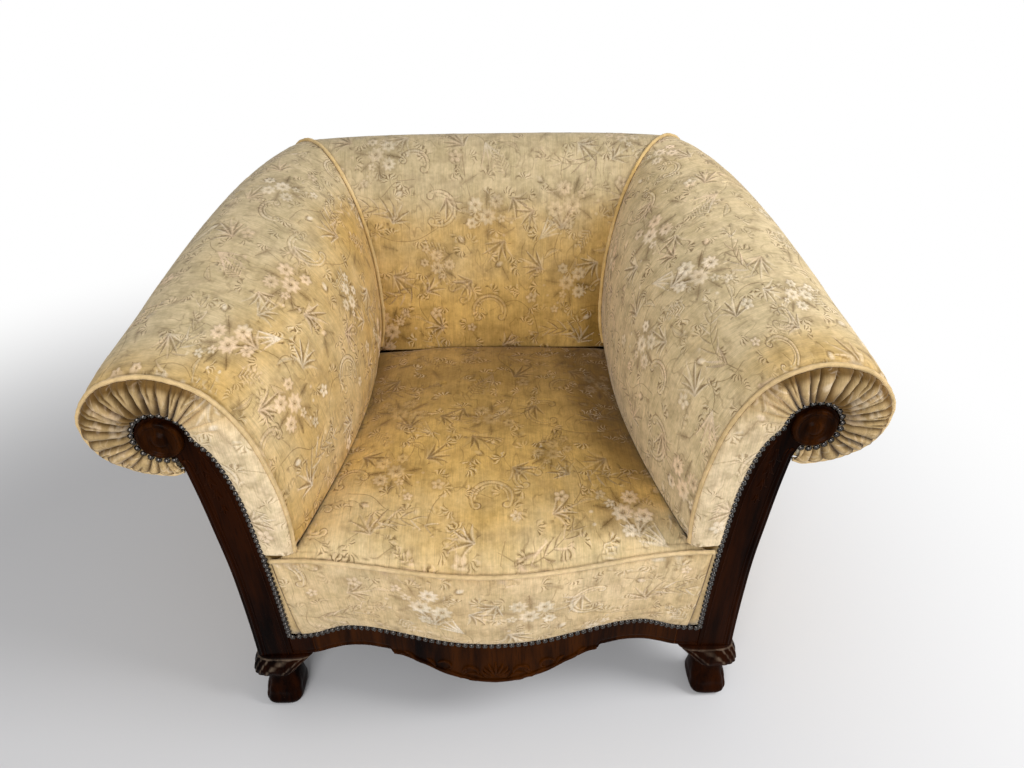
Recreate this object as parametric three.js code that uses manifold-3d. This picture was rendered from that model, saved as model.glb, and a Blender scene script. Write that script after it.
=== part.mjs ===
// Bergere armchair: deep sprung seat, scrolled upholstered arms and back, carved show-wood front.
// Millimetres. x runs across, y to the back, z up; y = 0 is the front face of the arm facing boards
// while the pieces are made, and the whole chair is moved back to its own middle at the end.
import * as THREE from "three";
import { mergeVertices } from "three/addons/utils/BufferGeometryUtils.js";
import Module from "manifold-3d";

// Overall sizes
const halfWidth = 541;
const backReach = 766;
const backFoot = 385;
const crestHeight = 790;
const armFoot = 367;
const armHeight = 688;
const armFrontY = 8;

// Show wood
const facingThickness = 22;
const facingFoot = 116.3;
const facingHeadRadius = 35.5;
const facingBevel = 2;
const roundelRadius = 31;
const roundelDepth = 9;
const boardGap = 0.5;
const railBlockLength = 38.7;
const railBow = 45;
const footTop = 116;
const footDepth = 78;

// Hidden frame
const stumpDepth = 38;
const stumpInset = 7;
const stumpMargin = 4.5;
const seatRailHeight = 64;
const seatRailFoot = 126;
const seatRailThickness = 26;
const tackRailWidth = 22;
const tackRailDrop = 34;
const postOuterShare = 0.658;
const postRakeY = 722;
const postFootDepth = 38;
const postRailDepth = 50;
const postTopSetback = 8;
const postLean = 2;
const railEase = 1.5;
const cornerBlockLeg = 60;
const cornerBlockHeight = 52;
const tenonLength = 20;
const tenonHeightShare = 0.6;
const tenonWidthShare = 0.4;

// Soft parts
const coverThickness = 2;
const clothGap = 0.6;
const fit = 0.3;
const seam = 6;
const weltRadius = 4.4;
const outsideBulge = 12;
const outsideInset = 1;
const nailRadius = 4.8;
const nailHeight = 3.6;
const nailPitch = 11;
const nailStrip = 11;
const nailOffset = 3.2;
const frontCrown = 11;
const frontCrownWidth = 60;
const frontTuck = 1.2;
const borderProud = 6;
const borderCrown = 4;
const borderLift = 2;
const sideStripWidth = 34;
const sideStripSetback = 4;
const seatWeltZ = 360;
const seatWeltFall = 5;
const seatCrown = 30;
const seatSideGap = 3;
const seatEdgeDrop = 4;
const hessianZ = 300;
const clothThickness = 1.5;
const lathWidth = 30;
const lathThickness = 3;
const bottomClothZ = 119.5;
const coverFoot = 120;
const springWire = 2;
const springEndRadius = 40;
const springWaistRadius = 30;
const springPitchX = 190;
const springPitchY = 165;
const springFirstY = 130;

// Counts
const sectionSteps = 20;
const armSteps = 7;
const backSteps = 10;
const seatSteps = 10;
const borderSteps = 16;
const edgeSteps = 10;
const railSteps = 36;
const roundelSteps = 24;
const postSteps = 6;
const clothSteps = 6;
const weltSides = 5;
const weltKnots = 24;
const armWeltSteps = 36;
const seamWeltSteps = 26;
const seatWeltSteps = 28;
const springTurns = 3;
const springRows = 3;
const springSteps = 6;

// Upholstery outlines as shares. Each section runs from the foot of the inside, over the roll, to its
// underside. x follows halfWidth, y follows backReach, z runs from the foot to the crest of its part.
const armFrontShares = [
  [0.555, 0], [0.553, 0.227], [0.567, 0.446], [0.603, 0.695], [0.669, 0.888], [0.754, 0.981],
  [0.841, 1], [0.937, 0.944], [1, 0.794], [0.982, 0.626], [0.911, 0.533], [0.828, 0.498],
  [0.786, 0.511],
];
const armFrontCoreShares = [
  [0.636, 0.02], [0.647, 0.227], [0.664, 0.43], [0.695, 0.62], [0.725, 0.745], [0.765, 0.818],
  [0.828, 0.844], [0.884, 0.81], [0.913, 0.741], [0.906, 0.655], [0.872, 0.572], [0.824, 0.538],
  [0.792, 0.545],
];
const cornerShares = [
  [0.444, 0.713, 0], [0.423, 0.722, 0.136], [0.42, 0.731, 0.296], [0.434, 0.749, 0.511],
  [0.481, 0.783, 0.753], [0.558, 0.838, 0.931], [0.638, 0.901, 0.983], [0.713, 0.954, 0.938],
  [0.754, 0.99, 0.82], [0.749, 0.987, 0.699], [0.723, 0.965, 0.632], [0.691, 0.936, 0.605],
  [0.669, 0.919, 0.607],
];
const cornerCoreShares = [
  [0.58, 0.812, 0.007], [0.579, 0.812, 0.136], [0.581, 0.816, 0.296], [0.586, 0.83, 0.511],
  [0.6, 0.85, 0.67], [0.616, 0.872, 0.775], [0.64, 0.9, 0.83], [0.665, 0.921, 0.822],
  [0.681, 0.933, 0.785], [0.681, 0.933, 0.735], [0.671, 0.922, 0.696], [0.657, 0.912, 0.671],
  [0.647, 0.904, 0.664],
];
const backShares = [
  [0.715, 0], [0.713, 0.136], [0.725, 0.296], [0.749, 0.511], [0.783, 0.753], [0.839, 0.941],
  [0.903, 1], [0.963, 0.965], [1, 0.852], [0.997, 0.738], [0.977, 0.659], [0.943, 0.63],
  [0.92, 0.635],
];
const backCoreShares = [
  [0.82, 0.007], [0.822, 0.136], [0.828, 0.296], [0.842, 0.511], [0.862, 0.69], [0.883, 0.81],
  [0.911, 0.868], [0.937, 0.855], [0.953, 0.805], [0.953, 0.753], [0.944, 0.709], [0.931, 0.684],
  [0.918, 0.677],
];
// Facing board edges, from its foot to the neck under the roundel; x follows halfWidth and z runs from
// the foot of the board to the roundel's centre.
const facingOuterShares = [
  [0.749, 0], [0.747, 0.124], [0.747, 0.281], [0.75, 0.45], [0.76, 0.618], [0.77, 0.765],
  [0.783, 0.902],
];
const facingInnerShares = [
  [0.638, 0], [0.64, 0.124], [0.643, 0.281], [0.649, 0.45], [0.658, 0.618], [0.67, 0.765],
  [0.697, 0.902], [0.726, 0.975],
];
const railHalfLength = facingInnerShares[0][0] * halfWidth - boardGap;
const railBlockInner = railHalfLength - railBlockLength;
const roundelCentreShares = [0.813, 0.7];
const headAngleShares = [-0.32, 0.515];
// Front rail: x follows railHalfLength, z rises from the foot of the facing boards by shares of the
// seat rail's height.
const railTopShares = [
  [0, 1.12], [0.2, 1.15], [0.36, 1.245], [0.5, 1.325], [0.595, 1.34], [0.704, 1.265], [0.777, 1.09],
  [0.87, 0.84], [1, 0.7],
];
const railBottomShares = [
  [0, -0.35], [0.087, -0.3], [0.16, -0.2], [0.246, -0.05], [0.333, 0.22], [0.435, 0.47],
  [0.49, 0.5], [0.5, 0.62], [0.55, 0.64], [0.623, 0.64], [0.716, 0.53], [0.797, 0.34],
  [0.884, 0.12], [1, 0.012],
];
// Foot rings from the top down: z of footTop, inner and outer x of halfWidth, front and back y of
// footDepth.
const footShares = [
  [1, 0.573, 0.753, -0.04, 0.8], [0.9, 0.594, 0.767, -0.11, 0.78],
  [0.76, 0.627, 0.775, -0.17, 0.74], [0.66, 0.643, 0.773, -0.155, 0.72],
  [0.635, 0.651, 0.73, -0.1, 0.66], [0.56, 0.65, 0.731, -0.075, 0.64],
  [0.44, 0.643, 0.742, -0.12, 0.64], [0.27, 0.639, 0.75, -0.18, 0.64],
  [0.1, 0.643, 0.751, -0.205, 0.64], [0, 0.65, 0.743, -0.16, 0.6],
];
const ringPower = 0.55;
const ringPoints = 16;
// Roundel profile: radius of roundelRadius, height of roundelDepth.
const roundelProfileShares = [
  [0, 0], [1, 0], [1, 0.45], [0.93, 0.75], [0.82, 0.75], [0.74, 0.4], [0.5, 0.45], [0.3, 0.9],
  [0, 1],
];
const panelRowShares = [0, 0.22, 0.55];
const panelCrownShares = [-0.15, 0.75, 1];
const borderRowShares = [0.3, 0.65, 1];
const borderEdgeInset = 12;
const borderTuckShare = 0.06;
const seatRiseShare = 0.06;
const seatRunShare = 0.9;
const seatEdgeShare = 0.15;
const nailStripShare = 0.45;
const nailWebShare = 0.25;
const nailTopShare = 0.5;
const nailEndShare = 0.002;
const seamWeltShares = [0.02, 0.77];
const seamWeltLiftShare = 0.75;
const rollShares = [0.4, 0.5, 0.6, 0.7, 0.8, 0.95];
const hessianSectionShares = [0.1, 0.3];

const clamp = (value) => Math.min(1, Math.max(0, value));
const lerp = (a, b, t) => a + (b - a) * t;
const smooth = (a, b, value) => THREE.MathUtils.smoothstep(value, a, b);
const vec = (x, y, z) => new THREE.Vector3(x, y, z);

// Geometry helpers

// Keep only positions, weld them and drop faces that lost a corner.
function weld(geometry) {
  const plain = geometry.clone();
  for (const name of ["normal", "uv"]) plain.deleteAttribute(name);
  const merged = mergeVertices(plain, 1e-4);
  const old = merged.index.array;
  const kept = [];
  for (let i = 0; i < old.length; i += 3) {
    const [a, b, c] = [old[i], old[i + 1], old[i + 2]];
    if (a !== b && b !== c && c !== a) kept.push(a, b, c);
  }
  merged.setIndex(kept);
  return merged;
}

function signedVolume(geometry) {
  const index = geometry.index.array;
  const corner = [vec(), vec(), vec()];
  let sum = 0;
  for (let i = 0; i < index.length; i += 3) {
    corner.forEach((point, k) => point.fromBufferAttribute(geometry.attributes.position, index[i + k]));
    sum += corner[0].dot(corner[1].cross(corner[2]));
  }
  return sum;
}

function outward(geometry) {
  const index = geometry.index.array;
  if (signedVolume(geometry) < 0)
    for (let i = 1; i < index.length; i += 3) [index[i], index[i + 1]] = [index[i + 1], index[i]];
  return geometry;
}

const mirrored = (geometry) => outward(geometry.clone().scale(-1, 1, 1));

// A closed slab between two faces that share one grid.
function slab(columns, rows, outer, inner) {
  const positions = [];
  const index = [];
  const layer = (columns + 1) * (rows + 1);
  for (const face of [outer, inner])
    for (let i = 0; i <= columns; i++)
      for (let j = 0; j <= rows; j++) positions.push(...face(i, j).toArray());
  const at = (side, i, j) => side * layer + i * (rows + 1) + j;
  const quad = (a, b, c, d) => index.push(a, b, c, a, c, d);
  for (let i = 0; i < columns; i++) {
    for (let j = 0; j < rows; j++) {
      quad(at(0, i, j), at(0, i + 1, j), at(0, i + 1, j + 1), at(0, i, j + 1));
      quad(at(1, i, j), at(1, i, j + 1), at(1, i + 1, j + 1), at(1, i + 1, j));
    }
    quad(at(0, i + 1, 0), at(0, i, 0), at(1, i, 0), at(1, i + 1, 0));
    quad(at(0, i, rows), at(0, i + 1, rows), at(1, i + 1, rows), at(1, i, rows));
  }
  for (let j = 0; j < rows; j++) {
    quad(at(0, 0, j), at(0, 0, j + 1), at(1, 0, j + 1), at(1, 0, j));
    quad(at(0, columns, j + 1), at(0, columns, j), at(1, columns, j), at(1, columns, j + 1));
  }
  return solidOf(positions, index);
}

function solidOf(positions, index) {
  const geometry = new THREE.BufferGeometry();
  geometry.setAttribute("position", new THREE.Float32BufferAttribute(positions, 3));
  geometry.setIndex(index);
  return outward(geometry);
}

// A closed body through rings of equal length, capped at both ends.
function loft(rings) {
  const count = rings[0].length;
  const positions = rings.flat().flatMap((point) => point.toArray());
  const index = [];
  for (let r = 0; r + 1 < rings.length; r++)
    for (let k = 0; k < count; k++) {
      const [a, b] = [r * count + k, r * count + ((k + 1) % count)];
      index.push(a, b, b + count, a, b + count, a + count);
    }
  const last = (rings.length - 1) * count;
  for (let k = 1; k + 1 < count; k++) index.push(0, k + 1, k, last, last + k, last + k + 1);
  return solidOf(positions, index);
}

// A tube of flat-sided section along a curve.
function tube(curve, radius, steps, sides) {
  const section = new THREE.Shape();
  for (let k = 0; k < sides; k++) {
    const angle = (2 * Math.PI * k) / sides;
    const point = [radius * Math.cos(angle), radius * Math.sin(angle)];
    if (k === 0) section.moveTo(...point);
    else section.lineTo(...point);
  }
  section.closePath();
  const options = { steps, extrudePath: curve, bevelEnabled: false };
  return outward(weld(new THREE.ExtrudeGeometry(section, options)));
}

function box(x0, x1, y0, y1, z0, z1) {
  const geometry = new THREE.BoxGeometry(x1 - x0, y1 - y0, z1 - z0);
  geometry.translate((x0 + x1) / 2, (y0 + y1) / 2, (z0 + z1) / 2);
  return weld(geometry);
}

// A board cut to a flat outline of [x, z] points, its front at y0.
function board(outline, y0, thickness, bevel = 0) {
  const shape = new THREE.Shape(outline.map(([x, z]) => new THREE.Vector2(x, z)));
  const geometry = new THREE.ExtrudeGeometry(shape, {
    depth: thickness - 2 * bevel,
    bevelEnabled: bevel > 0,
    bevelThickness: bevel,
    bevelSize: bevel,
    bevelOffset: -bevel,
    bevelSegments: 1,
  });
  geometry.rotateX(Math.PI / 2);
  geometry.translate(0, y0 + thickness - bevel, 0);
  return outward(weld(geometry));
}

const wasm = await Module();
wasm.setup();

function toManifold(geometry) {
  const position = geometry.attributes.position.array;
  return new wasm.Manifold(
    new wasm.Mesh({
      numProp: 3,
      vertProperties: new Float32Array(position),
      triVerts: new Uint32Array(geometry.index.array),
    }),
  );
}

function fromManifold(solid) {
  const mesh = solid.getMesh();
  return solidOf(Array.from(mesh.vertProperties), Array.from(mesh.triVerts));
}

function cut(geometry, cutters) {
  let solid = toManifold(geometry);
  for (const cutter of cutters) solid = solid.subtract(toManifold(cutter));
  return fromManifold(solid);
}

function joined(parts) {
  const solid = parts.map(toManifold).reduce((sum, one) => sum.add(one));
  return fromManifold(solid);
}

// Upholstery surfaces

const armZ = (share) => lerp(armFoot, armHeight, share);
const backZ = (share) => lerp(backFoot, crestHeight, share);
const spline = (points) => new THREE.CatmullRomCurve3(points, false, "catmullrom", 0.5);
const frontCurve = (shares) =>
  spline(shares.map(([x, z]) => vec(x * halfWidth, armFrontY, armZ(z))));
const cornerCurve = (shares) =>
  spline(shares.map(([x, y, z]) => vec(x * halfWidth, y * backReach, backZ(z))));
const backCurve = (shares) => spline(shares.map(([y, z]) => vec(0, y * backReach, backZ(z))));

const face = {
  name: "face",
  front: frontCurve(armFrontShares),
  corner: cornerCurve(cornerShares),
  back: backCurve(backShares),
};
const core = {
  name: "core",
  front: frontCurve(armFrontCoreShares),
  corner: cornerCurve(cornerCoreShares),
  back: backCurve(backCoreShares),
};

function hermite(p0, m0, p1, m1, t) {
  const [t2, t3] = [t * t, t * t * t];
  return vec()
    .addScaledVector(p0, 2 * t3 - 3 * t2 + 1)
    .addScaledVector(m0, t3 - 2 * t2 + t)
    .addScaledVector(p1, 3 * t2 - 2 * t3)
    .addScaledVector(m1, t3 - t2);
}

// Right arm: s runs round the section, t from the front to the seam with the back.
function armPoint(skin, s, t) {
  const [front, corner] = [skin.front.getPoint(s), skin.corner.getPoint(s)];
  const reach = front.distanceTo(corner);
  const inside = 1 - smooth(0.25, 0.45, s);
  const roll = smooth(0.3, 0.5, s);
  const leave = vec(lerp(-0.03, -0.34, inside), 1, 0.16).multiplyScalar(reach);
  const arrive = vec(0.1, 1, 0.02).lerp(vec(-0.42, 0.42, 0.06), roll).multiplyScalar(reach);
  return hermite(front, leave, corner, arrive, t);
}

// Back: t = 0 at the right seam, 1 in the middle, 2 at the left seam.
function backPoint(skin, s, t) {
  if (t > 1) return backPoint(skin, s, 2 - t).multiply(vec(-1, 1, 1));
  const [corner, middle] = [skin.corner.getPoint(s), skin.back.getPoint(s)];
  const reach = corner.distanceTo(middle);
  const roll = smooth(0.3, 0.5, s);
  const leave = vec(-1, 0, 0).lerp(vec(-0.98, 0.2, 0.03), roll).multiplyScalar(reach);
  return hermite(corner, leave, middle, vec(-reach, 0, 0), t);
}

const stumpFront = facingThickness + fit;
const stumpBack = stumpFront + stumpDepth;

// The share along a line whose coordinate `axis` rises steadily, where it reaches a value.
function shareAt(pointOf, axis, value) {
  let [low, high] = [0, 1];
  for (let k = 0; k < 24; k++) {
    const middle = (low + high) / 2;
    if (pointOf(middle)[axis] < value) low = middle;
    else high = middle;
  }
  return low;
}

// Lengthwise rows of the arm: row 0 is the front welt, row 1 the stump, the last one the seam.
const stumpShares = new Map();
function stumpShare(skin, s) {
  const key = `${skin.name} ${s}`;
  if (!stumpShares.has(key)) {
    const share = shareAt((t) => armPoint(skin, s, t), "y", stumpFront);
    stumpShares.set(key, share);
  }
  return stumpShares.get(key);
}

function armRow(skin, s, j) {
  if (j === 0) return 0;
  const reach = skin.front.getPoint(s).distanceTo(skin.corner.getPoint(s));
  return lerp(stumpShare(skin, s), 1 - seam / reach, (j - 1) / armSteps);
}

function backRow(skin, s, j) {
  const start = seam / skin.corner.getPoint(s).distanceTo(skin.back.getPoint(s));
  return lerp(start, 2 - start, j / backSteps);
}

// A point at a depth under the outer face, on its way to the core.
function layered(pointOf, rowOf, s, j, depth) {
  const outer = pointOf(face, s, rowOf(face, s, j));
  const way = pointOf(core, s, rowOf(core, s, j)).sub(outer);
  return outer.addScaledVector(way, depth / way.length());
}

const sectionAt = (i) => i / sectionSteps;
const stuffingDepth = coverThickness + clothGap;

function cover(pointOf, rowOf, rows) {
  const at = (depth) => (i, j) => layered(pointOf, rowOf, sectionAt(i), j, depth);
  return slab(sectionSteps, rows, at(0), at(coverThickness));
}

function stuffing(pointOf, rowOf, first, rows) {
  const outer = (i, j) => layered(pointOf, rowOf, sectionAt(i), j + first, stuffingDepth);
  const inner = (i, j) => pointOf(core, sectionAt(i), rowOf(core, sectionAt(i), j + first));
  return slab(sectionSteps, rows, outer, inner);
}

// Show wood

const roundelX = roundelCentreShares[0] * halfWidth;
const roundelZ = armZ(roundelCentreShares[1]);
const facingZ = (share) => lerp(facingFoot, roundelZ, share);
const edgeCurve = (shares) =>
  spline(shares.map(([x, z]) => vec(x * halfWidth, 0, facingZ(z))));
const outerEdge = edgeCurve(facingOuterShares);
const innerEdge = edgeCurve(facingInnerShares);
const neckZ = facingZ(facingInnerShares.at(-1)[1]);
const boardTopZ = facingZ(facingOuterShares.at(-1)[1]);
const headAngles = headAngleShares.map((share) => 2 * Math.PI * share);

const edgeX = (curve, z) => curve.getPoint(shareAt((t) => curve.getPoint(t), "z", z)).x;

// The board's edge where the arm front's section s meets it, grown outward.
function boardEdge(s, grow) {
  const point = face.front.getPoint(s);
  if (point.z < neckZ && s < 0.5) return vec(edgeX(innerEdge, point.z) - grow, 0, point.z);
  let angle = Math.atan2(point.z - roundelZ, point.x - roundelX);
  if (s < 0.5 && angle < 0) angle += 2 * Math.PI;
  angle = Math.min(headAngles[1], Math.max(headAngles[0], angle));
  const radius = facingHeadRadius + grow;
  return vec(roundelX + radius * Math.cos(angle), 0, roundelZ + radius * Math.sin(angle));
}

function facingOutline(grow, outerInset, footZ) {
  const outline = [];
  for (let k = 0; k <= edgeSteps; k++) {
    const z = lerp(footZ, boardTopZ, k / edgeSteps);
    outline.push([edgeX(outerEdge, z) - outerInset, z]);
  }
  for (let k = sectionSteps; k >= 0; k--) {
    const point = boardEdge(sectionAt(k), grow);
    outline.push([point.x, point.z]);
  }
  for (let k = 1; k <= edgeSteps / 2; k++) {
    const z = lerp(armFoot, footZ, k / (edgeSteps / 2));
    outline.push([edgeX(innerEdge, z) - grow, z]);
  }
  return outline;
}

const facing = () => board(facingOutline(0, 0, facingFoot), 0, facingThickness, facingBevel);

function roundel() {
  const profile = roundelProfileShares.map(
    ([radius, height]) => new THREE.Vector2(radius * roundelRadius, height * roundelDepth),
  );
  const geometry = new THREE.LatheGeometry(profile, roundelSteps);
  geometry.rotateX(Math.PI);
  geometry.translate(roundelX, -fit, roundelZ);
  return outward(weld(geometry));
}

const shareLine = (shares) => {
  const place = ([x, z]) => vec(x * railHalfLength, 0, facingFoot + z * seatRailHeight);
  const curve = spline(shares.map(place));
  return (x) => curve.getPoint(shareAt((t) => curve.getPoint(t), "x", Math.abs(x))).z;
};
const railTop = shareLine(railTopShares);
const railBottom = shareLine(railBottomShares);
const bowAt = (x) => {
  const share = Math.min(1, Math.abs(x) / railHalfLength);
  return (-railBow * (1 + Math.cos(Math.PI * share))) / 2;
};

function railPiece(x0, x1, steps) {
  const at = (front) => (i, j) => {
    const x = lerp(x0, x1, i / steps);
    const y = front ? bowAt(x) : facingThickness;
    return vec(x, y, lerp(railBottom(x), railTop(x), j / 2));
  };
  return slab(steps, 2, at(true), at(false));
}

function footSolid() {
  const rings = footShares.map(([z, inner, outer, front, back]) => {
    const ring = [];
    for (let k = 0; k < ringPoints; k++) {
      const angle = (2 * Math.PI * (k + 0.5)) / ringPoints;
      const round = (value) => (1 + Math.sign(value) * Math.abs(value) ** ringPower) / 2;
      const x = lerp(inner, outer, round(Math.cos(angle))) * halfWidth;
      const y = lerp(front, back, round(Math.sin(angle))) * footDepth;
      ring.push(vec(x, y, z * footTop));
    }
    return ring;
  });
  return loft(rings);
}

// Frame behind the upholstery

// Outside of the chair below the rolls: v = 0 under the roll, 1 at the foot of the cloth.
function outsideFront(v) {
  const top = face.front.getPoint(1);
  const z = lerp(top.z, coverFoot, v);
  const edge = edgeX(outerEdge, Math.min(z, boardTopZ)) - outsideInset;
  return vec(lerp(top.x, edge, smooth(0, 0.12, v)), stumpFront, z);
}

function outsideCorner(v) {
  const top = face.corner.getPoint(1);
  return vec(top.x, top.y, lerp(top.z, coverFoot, v));
}

function outsideBack(v) {
  const top = face.back.getPoint(1);
  return vec(0, top.y, lerp(top.z, coverFoot, v));
}

// Depth is measured inward, square to the cloth in plan.
function outsideArm(v, t, depth) {
  const [front, corner] = [outsideFront(v), outsideCorner(v)];
  const chord = corner.clone().sub(front);
  const inward = vec(-chord.y, chord.x, 0).normalize();
  const bulge = 4 * t * (1 - t) * (1 - smooth(0, 0.5, v)) * outsideBulge;
  return front.lerp(corner, t).addScaledVector(inward, depth - bulge);
}

function outsideRear(v, t, depth) {
  const [corner, middle] = [outsideCorner(v), outsideBack(v)];
  const left = corner.clone().multiply(vec(-1, 1, 1));
  const point = t < 1 ? corner.lerp(middle, t) : middle.lerp(left, t - 1);
  point.y -= depth;
  return point;
}

const outsideSteps = 5;
const cornerLength = outsideFront(1).distanceTo(outsideCorner(1));
const armCoverShare = (j) => lerp(0, 1 - (coverThickness + fit) / cornerLength, j / armSteps);
const underRollShare = 0.012;
const outsideV = (i) => lerp(underRollShare, 1, i / outsideSteps);

const outsideArmCover = () =>
  slab(
    outsideSteps,
    armSteps,
    (i, j) => outsideArm(outsideV(i), armCoverShare(j), 0),
    (i, j) => outsideArm(outsideV(i), armCoverShare(j), coverThickness),
  );

const outsideBackCover = () =>
  slab(
    outsideSteps,
    backSteps,
    (i, j) => outsideRear(outsideV(i), (2 * j) / backSteps, 0),
    (i, j) => outsideRear(outsideV(i), (2 * j) / backSteps, coverThickness),
  );

const frameDepth = coverThickness + clothGap;

function stump() {
  const outline = facingOutline(stumpMargin, stumpInset, footTop + fit);
  return board(outline, stumpFront, stumpDepth);
}

const postInner = core.corner.getPoint(0).x + fit;
const postOuter = postOuterShare * halfWidth;
const rollFootZ = Math.min(...rollShares.map((s) => core.corner.getPoint(s).z));
const postTopZ = lerp(rollFootZ, core.corner.getPoint(rollShares[0]).z, 0.5);
const railTopZ = seatRailFoot + seatRailHeight;
const postBackY = (z) => outsideCorner(0).y - frameDepth - postLean * clamp(z / crestHeight);

function rearPost() {
  const frontY = (s) => core.corner.getPoint(s).y + fit + postTopSetback * smooth(0.25, 0.4, s);
  const points = [];
  const topShare = shareAt((s) => core.corner.getPoint(s * 0.5), "z", postTopZ) * 0.5;
  points.push([postRakeY, 0], [postBackY(coverFoot) - postRailDepth, coverFoot]);
  points.push([frontY(0), railTopZ + tackRailDrop]);
  for (let k = 0; k <= postSteps; k++) {
    const s = (topShare * k) / postSteps;
    points.push([frontY(s), core.corner.getPoint(s).z]);
  }
  points.at(-1)[1] = postTopZ;
  points.push([postBackY(postTopZ), postTopZ], [postBackY(coverFoot), coverFoot]);
  points.push([postRakeY + postFootDepth, 0]);
  const shape = new THREE.Shape(points.map(([y, z]) => new THREE.Vector2(y, z)));
  const options = { depth: postOuter - postInner, bevelEnabled: false };
  const turned = weld(new THREE.ExtrudeGeometry(shape, options));
  const position = turned.attributes.position;
  for (let k = 0; k < position.count; k++)
    position.setXYZ(k, postInner + position.getZ(k), position.getX(k), position.getY(k));
  return outward(turned);
}

// The post is let into both roll rails and stays clear of the tacked edges under the rolls.
function rearPostFitted() {
  const tack = face.corner.getPoint(1);
  const end = core.corner.getPoint(1);
  const clear = tack.z - tackRailWidth / 2;
  const side = box(end.x - 2 * fit, halfWidth, 0, backReach, clear, crestHeight);
  const behind = box(0, halfWidth, end.y - 2 * fit, backReach, clear, crestHeight);
  return cut(rearPost(), [side, behind, armRollRail(fit), backRollRail(fit)]);
}

// The post's front face at a height under the seat stuffing.
function postFrontY(z) {
  const low = postBackY(coverFoot) - postRailDepth;
  const rise = railTopZ + tackRailDrop - coverFoot;
  return lerp(low, core.corner.getPoint(0).y + fit, clamp((z - coverFoot) / rise));
}

// The seat rails stand on one level; the side rails follow the outside covers.
function sideRail() {
  const [front, rear] = [stumpBack + fit, postFrontY(railTopZ) - fit];
  const deep = frameDepth + seatRailThickness;
  const corners = [[front, frameDepth], [front, deep], [rear, deep], [rear, frameDepth]];
  const ring = (z) =>
    corners.map(([y, depth]) => {
      const t = (y - stumpFront) / (outsideCorner(1).y - stumpFront);
      const v = (face.front.getPoint(1).z - z) / (face.front.getPoint(1).z - coverFoot);
      const point = outsideArm(v, t, depth);
      return vec(point.x, y, z);
    });
  return loft([ring(seatRailFoot), ring(railTopZ)]);
}

const frontRailBack = stumpFront + seatRailThickness;
const innerRailHalf = edgeX(innerEdge, seatRailFoot) - stumpMargin - fit;
const innerRail = () =>
  box(-innerRailHalf, innerRailHalf, stumpFront, frontRailBack, seatRailFoot, railTopZ);

const backRailFront = postBackY(coverFoot) - postRailDepth + 4 * fit;
const backRail = () =>
  box(
    -postInner + fit, postInner - fit,
    backRailFront, backRailFront + seatRailThickness, seatRailFoot, railTopZ,
  );

// Glued in the corner of the front rail and the stump.
function frontCornerBlock() {
  const [x, y] = [innerRailHalf - fit, frontRailBack + fit];
  const triangle = [[x, y], [x - cornerBlockLeg, y], [x, y + cornerBlockLeg]];
  const shape = new THREE.Shape(triangle.map((point) => new THREE.Vector2(...point)));
  const geometry = new THREE.ExtrudeGeometry(shape, { depth: cornerBlockHeight, bevelEnabled: false });
  geometry.translate(0, 0, seatRailFoot + (seatRailHeight - cornerBlockHeight) / 2);
  return outward(weld(geometry));
}

// Rails that follow the core of the upholstery. A cutter is a little fatter and runs on to the seam.
function rollRail(pointOf, rowOf, steps, first, grow = 0) {
  const rings = [];
  for (let j = first; j <= steps; j++) {
    const past = (((j === steps) - (j === first)) * 2 * grow) / backReach;
    const ring = rollShares.map((s) => pointOf(core, s, rowOf(core, s, j) + past));
    const middle = vec(0, 0, 0);
    for (const point of ring) middle.addScaledVector(point, 1 / ring.length);
    rings.push(ring.map((point) => {
      const inward = middle.clone().sub(point);
      return point.addScaledVector(inward, (clothGap + railEase - grow) / inward.length());
    }));
  }
  return loft(rings);
}

// Rails start behind the stump.
const armRailRow = (skin, s, j) =>
  j === 1 ? shareAt((t) => armPoint(skin, s, t), "y", stumpBack + fit) : armRow(skin, s, j);
const armRollRail = (grow) => rollRail(armPoint, armRailRow, armSteps + 1, 1, grow);
const backRollRail = (grow) => rollRail(backPoint, backRow, backSteps, 0, grow);

function tackRail(pointOf, rowOf, steps, first, out) {
  const rings = [];
  for (let j = first; j <= steps; j++) {
    const foot = pointOf(core, 0, rowOf(core, 0, j));
    const top = pointOf(core, sectionAt(1), rowOf(core, sectionAt(1), j));
    const ease = clothGap + (pointOf === armPoint && j === first ? railEase : 0);
    const low = foot.clone().add(vec(0, 0, -tackRailDrop)).addScaledVector(out, ease);
    const high = top.clone().addScaledVector(out, ease);
    foot.addScaledVector(out, ease);
    const depth = Math.max(low.dot(out), high.dot(out), foot.dot(out)) + tackRailWidth;
    const push = (point) => point.clone().addScaledVector(out, depth - point.dot(out));
    rings.push([low, foot, high, push(high), push(foot), push(low)]);
  }
  return loft(rings);
}

// Hessian stretched over the frame, behind the stuffing.
function hessianSheet(pointOf, rowOf, first, last, out) {
  const [low, high] = hessianSectionShares.map((share) => Math.round(share * sectionSteps));
  const at = (depth) => (i, j) => {
    const s = sectionAt(low + i);
    return pointOf(core, s, rowOf(core, s, first + j)).addScaledVector(out, depth);
  };
  return slab(high - low, last - first, at(clothGap), at(clothGap + clothThickness));
}

// Arm front: a ruched cloth face over a pad, between the welt and the board.
function panelPoint(i, j, depth) {
  const s = sectionAt(i);
  const outer = face.front.getPoint(s).setY(0);
  const inner = boardEdge(s, boardGap);
  const width = outer.distanceTo(inner);
  const from = seam / width;
  const strip = 1 - Math.min(nailStripShare, nailStrip / width);
  const rows = [...panelRowShares.map((row) => lerp(from, strip, row)), strip, 1];
  const swell = frontCrown * Math.min(1, width / frontCrownWidth);
  const crown = [...panelCrownShares.map((share) => -share * swell), frontTuck, frontTuck];
  return outer.lerp(inner, rows[j]).setY(crown[j] + depth);
}

const armPanel = () =>
  slab(sectionSteps, 4, (i, j) => panelPoint(i, j, 0), (i, j) => panelPoint(i, j, coverThickness));

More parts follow.
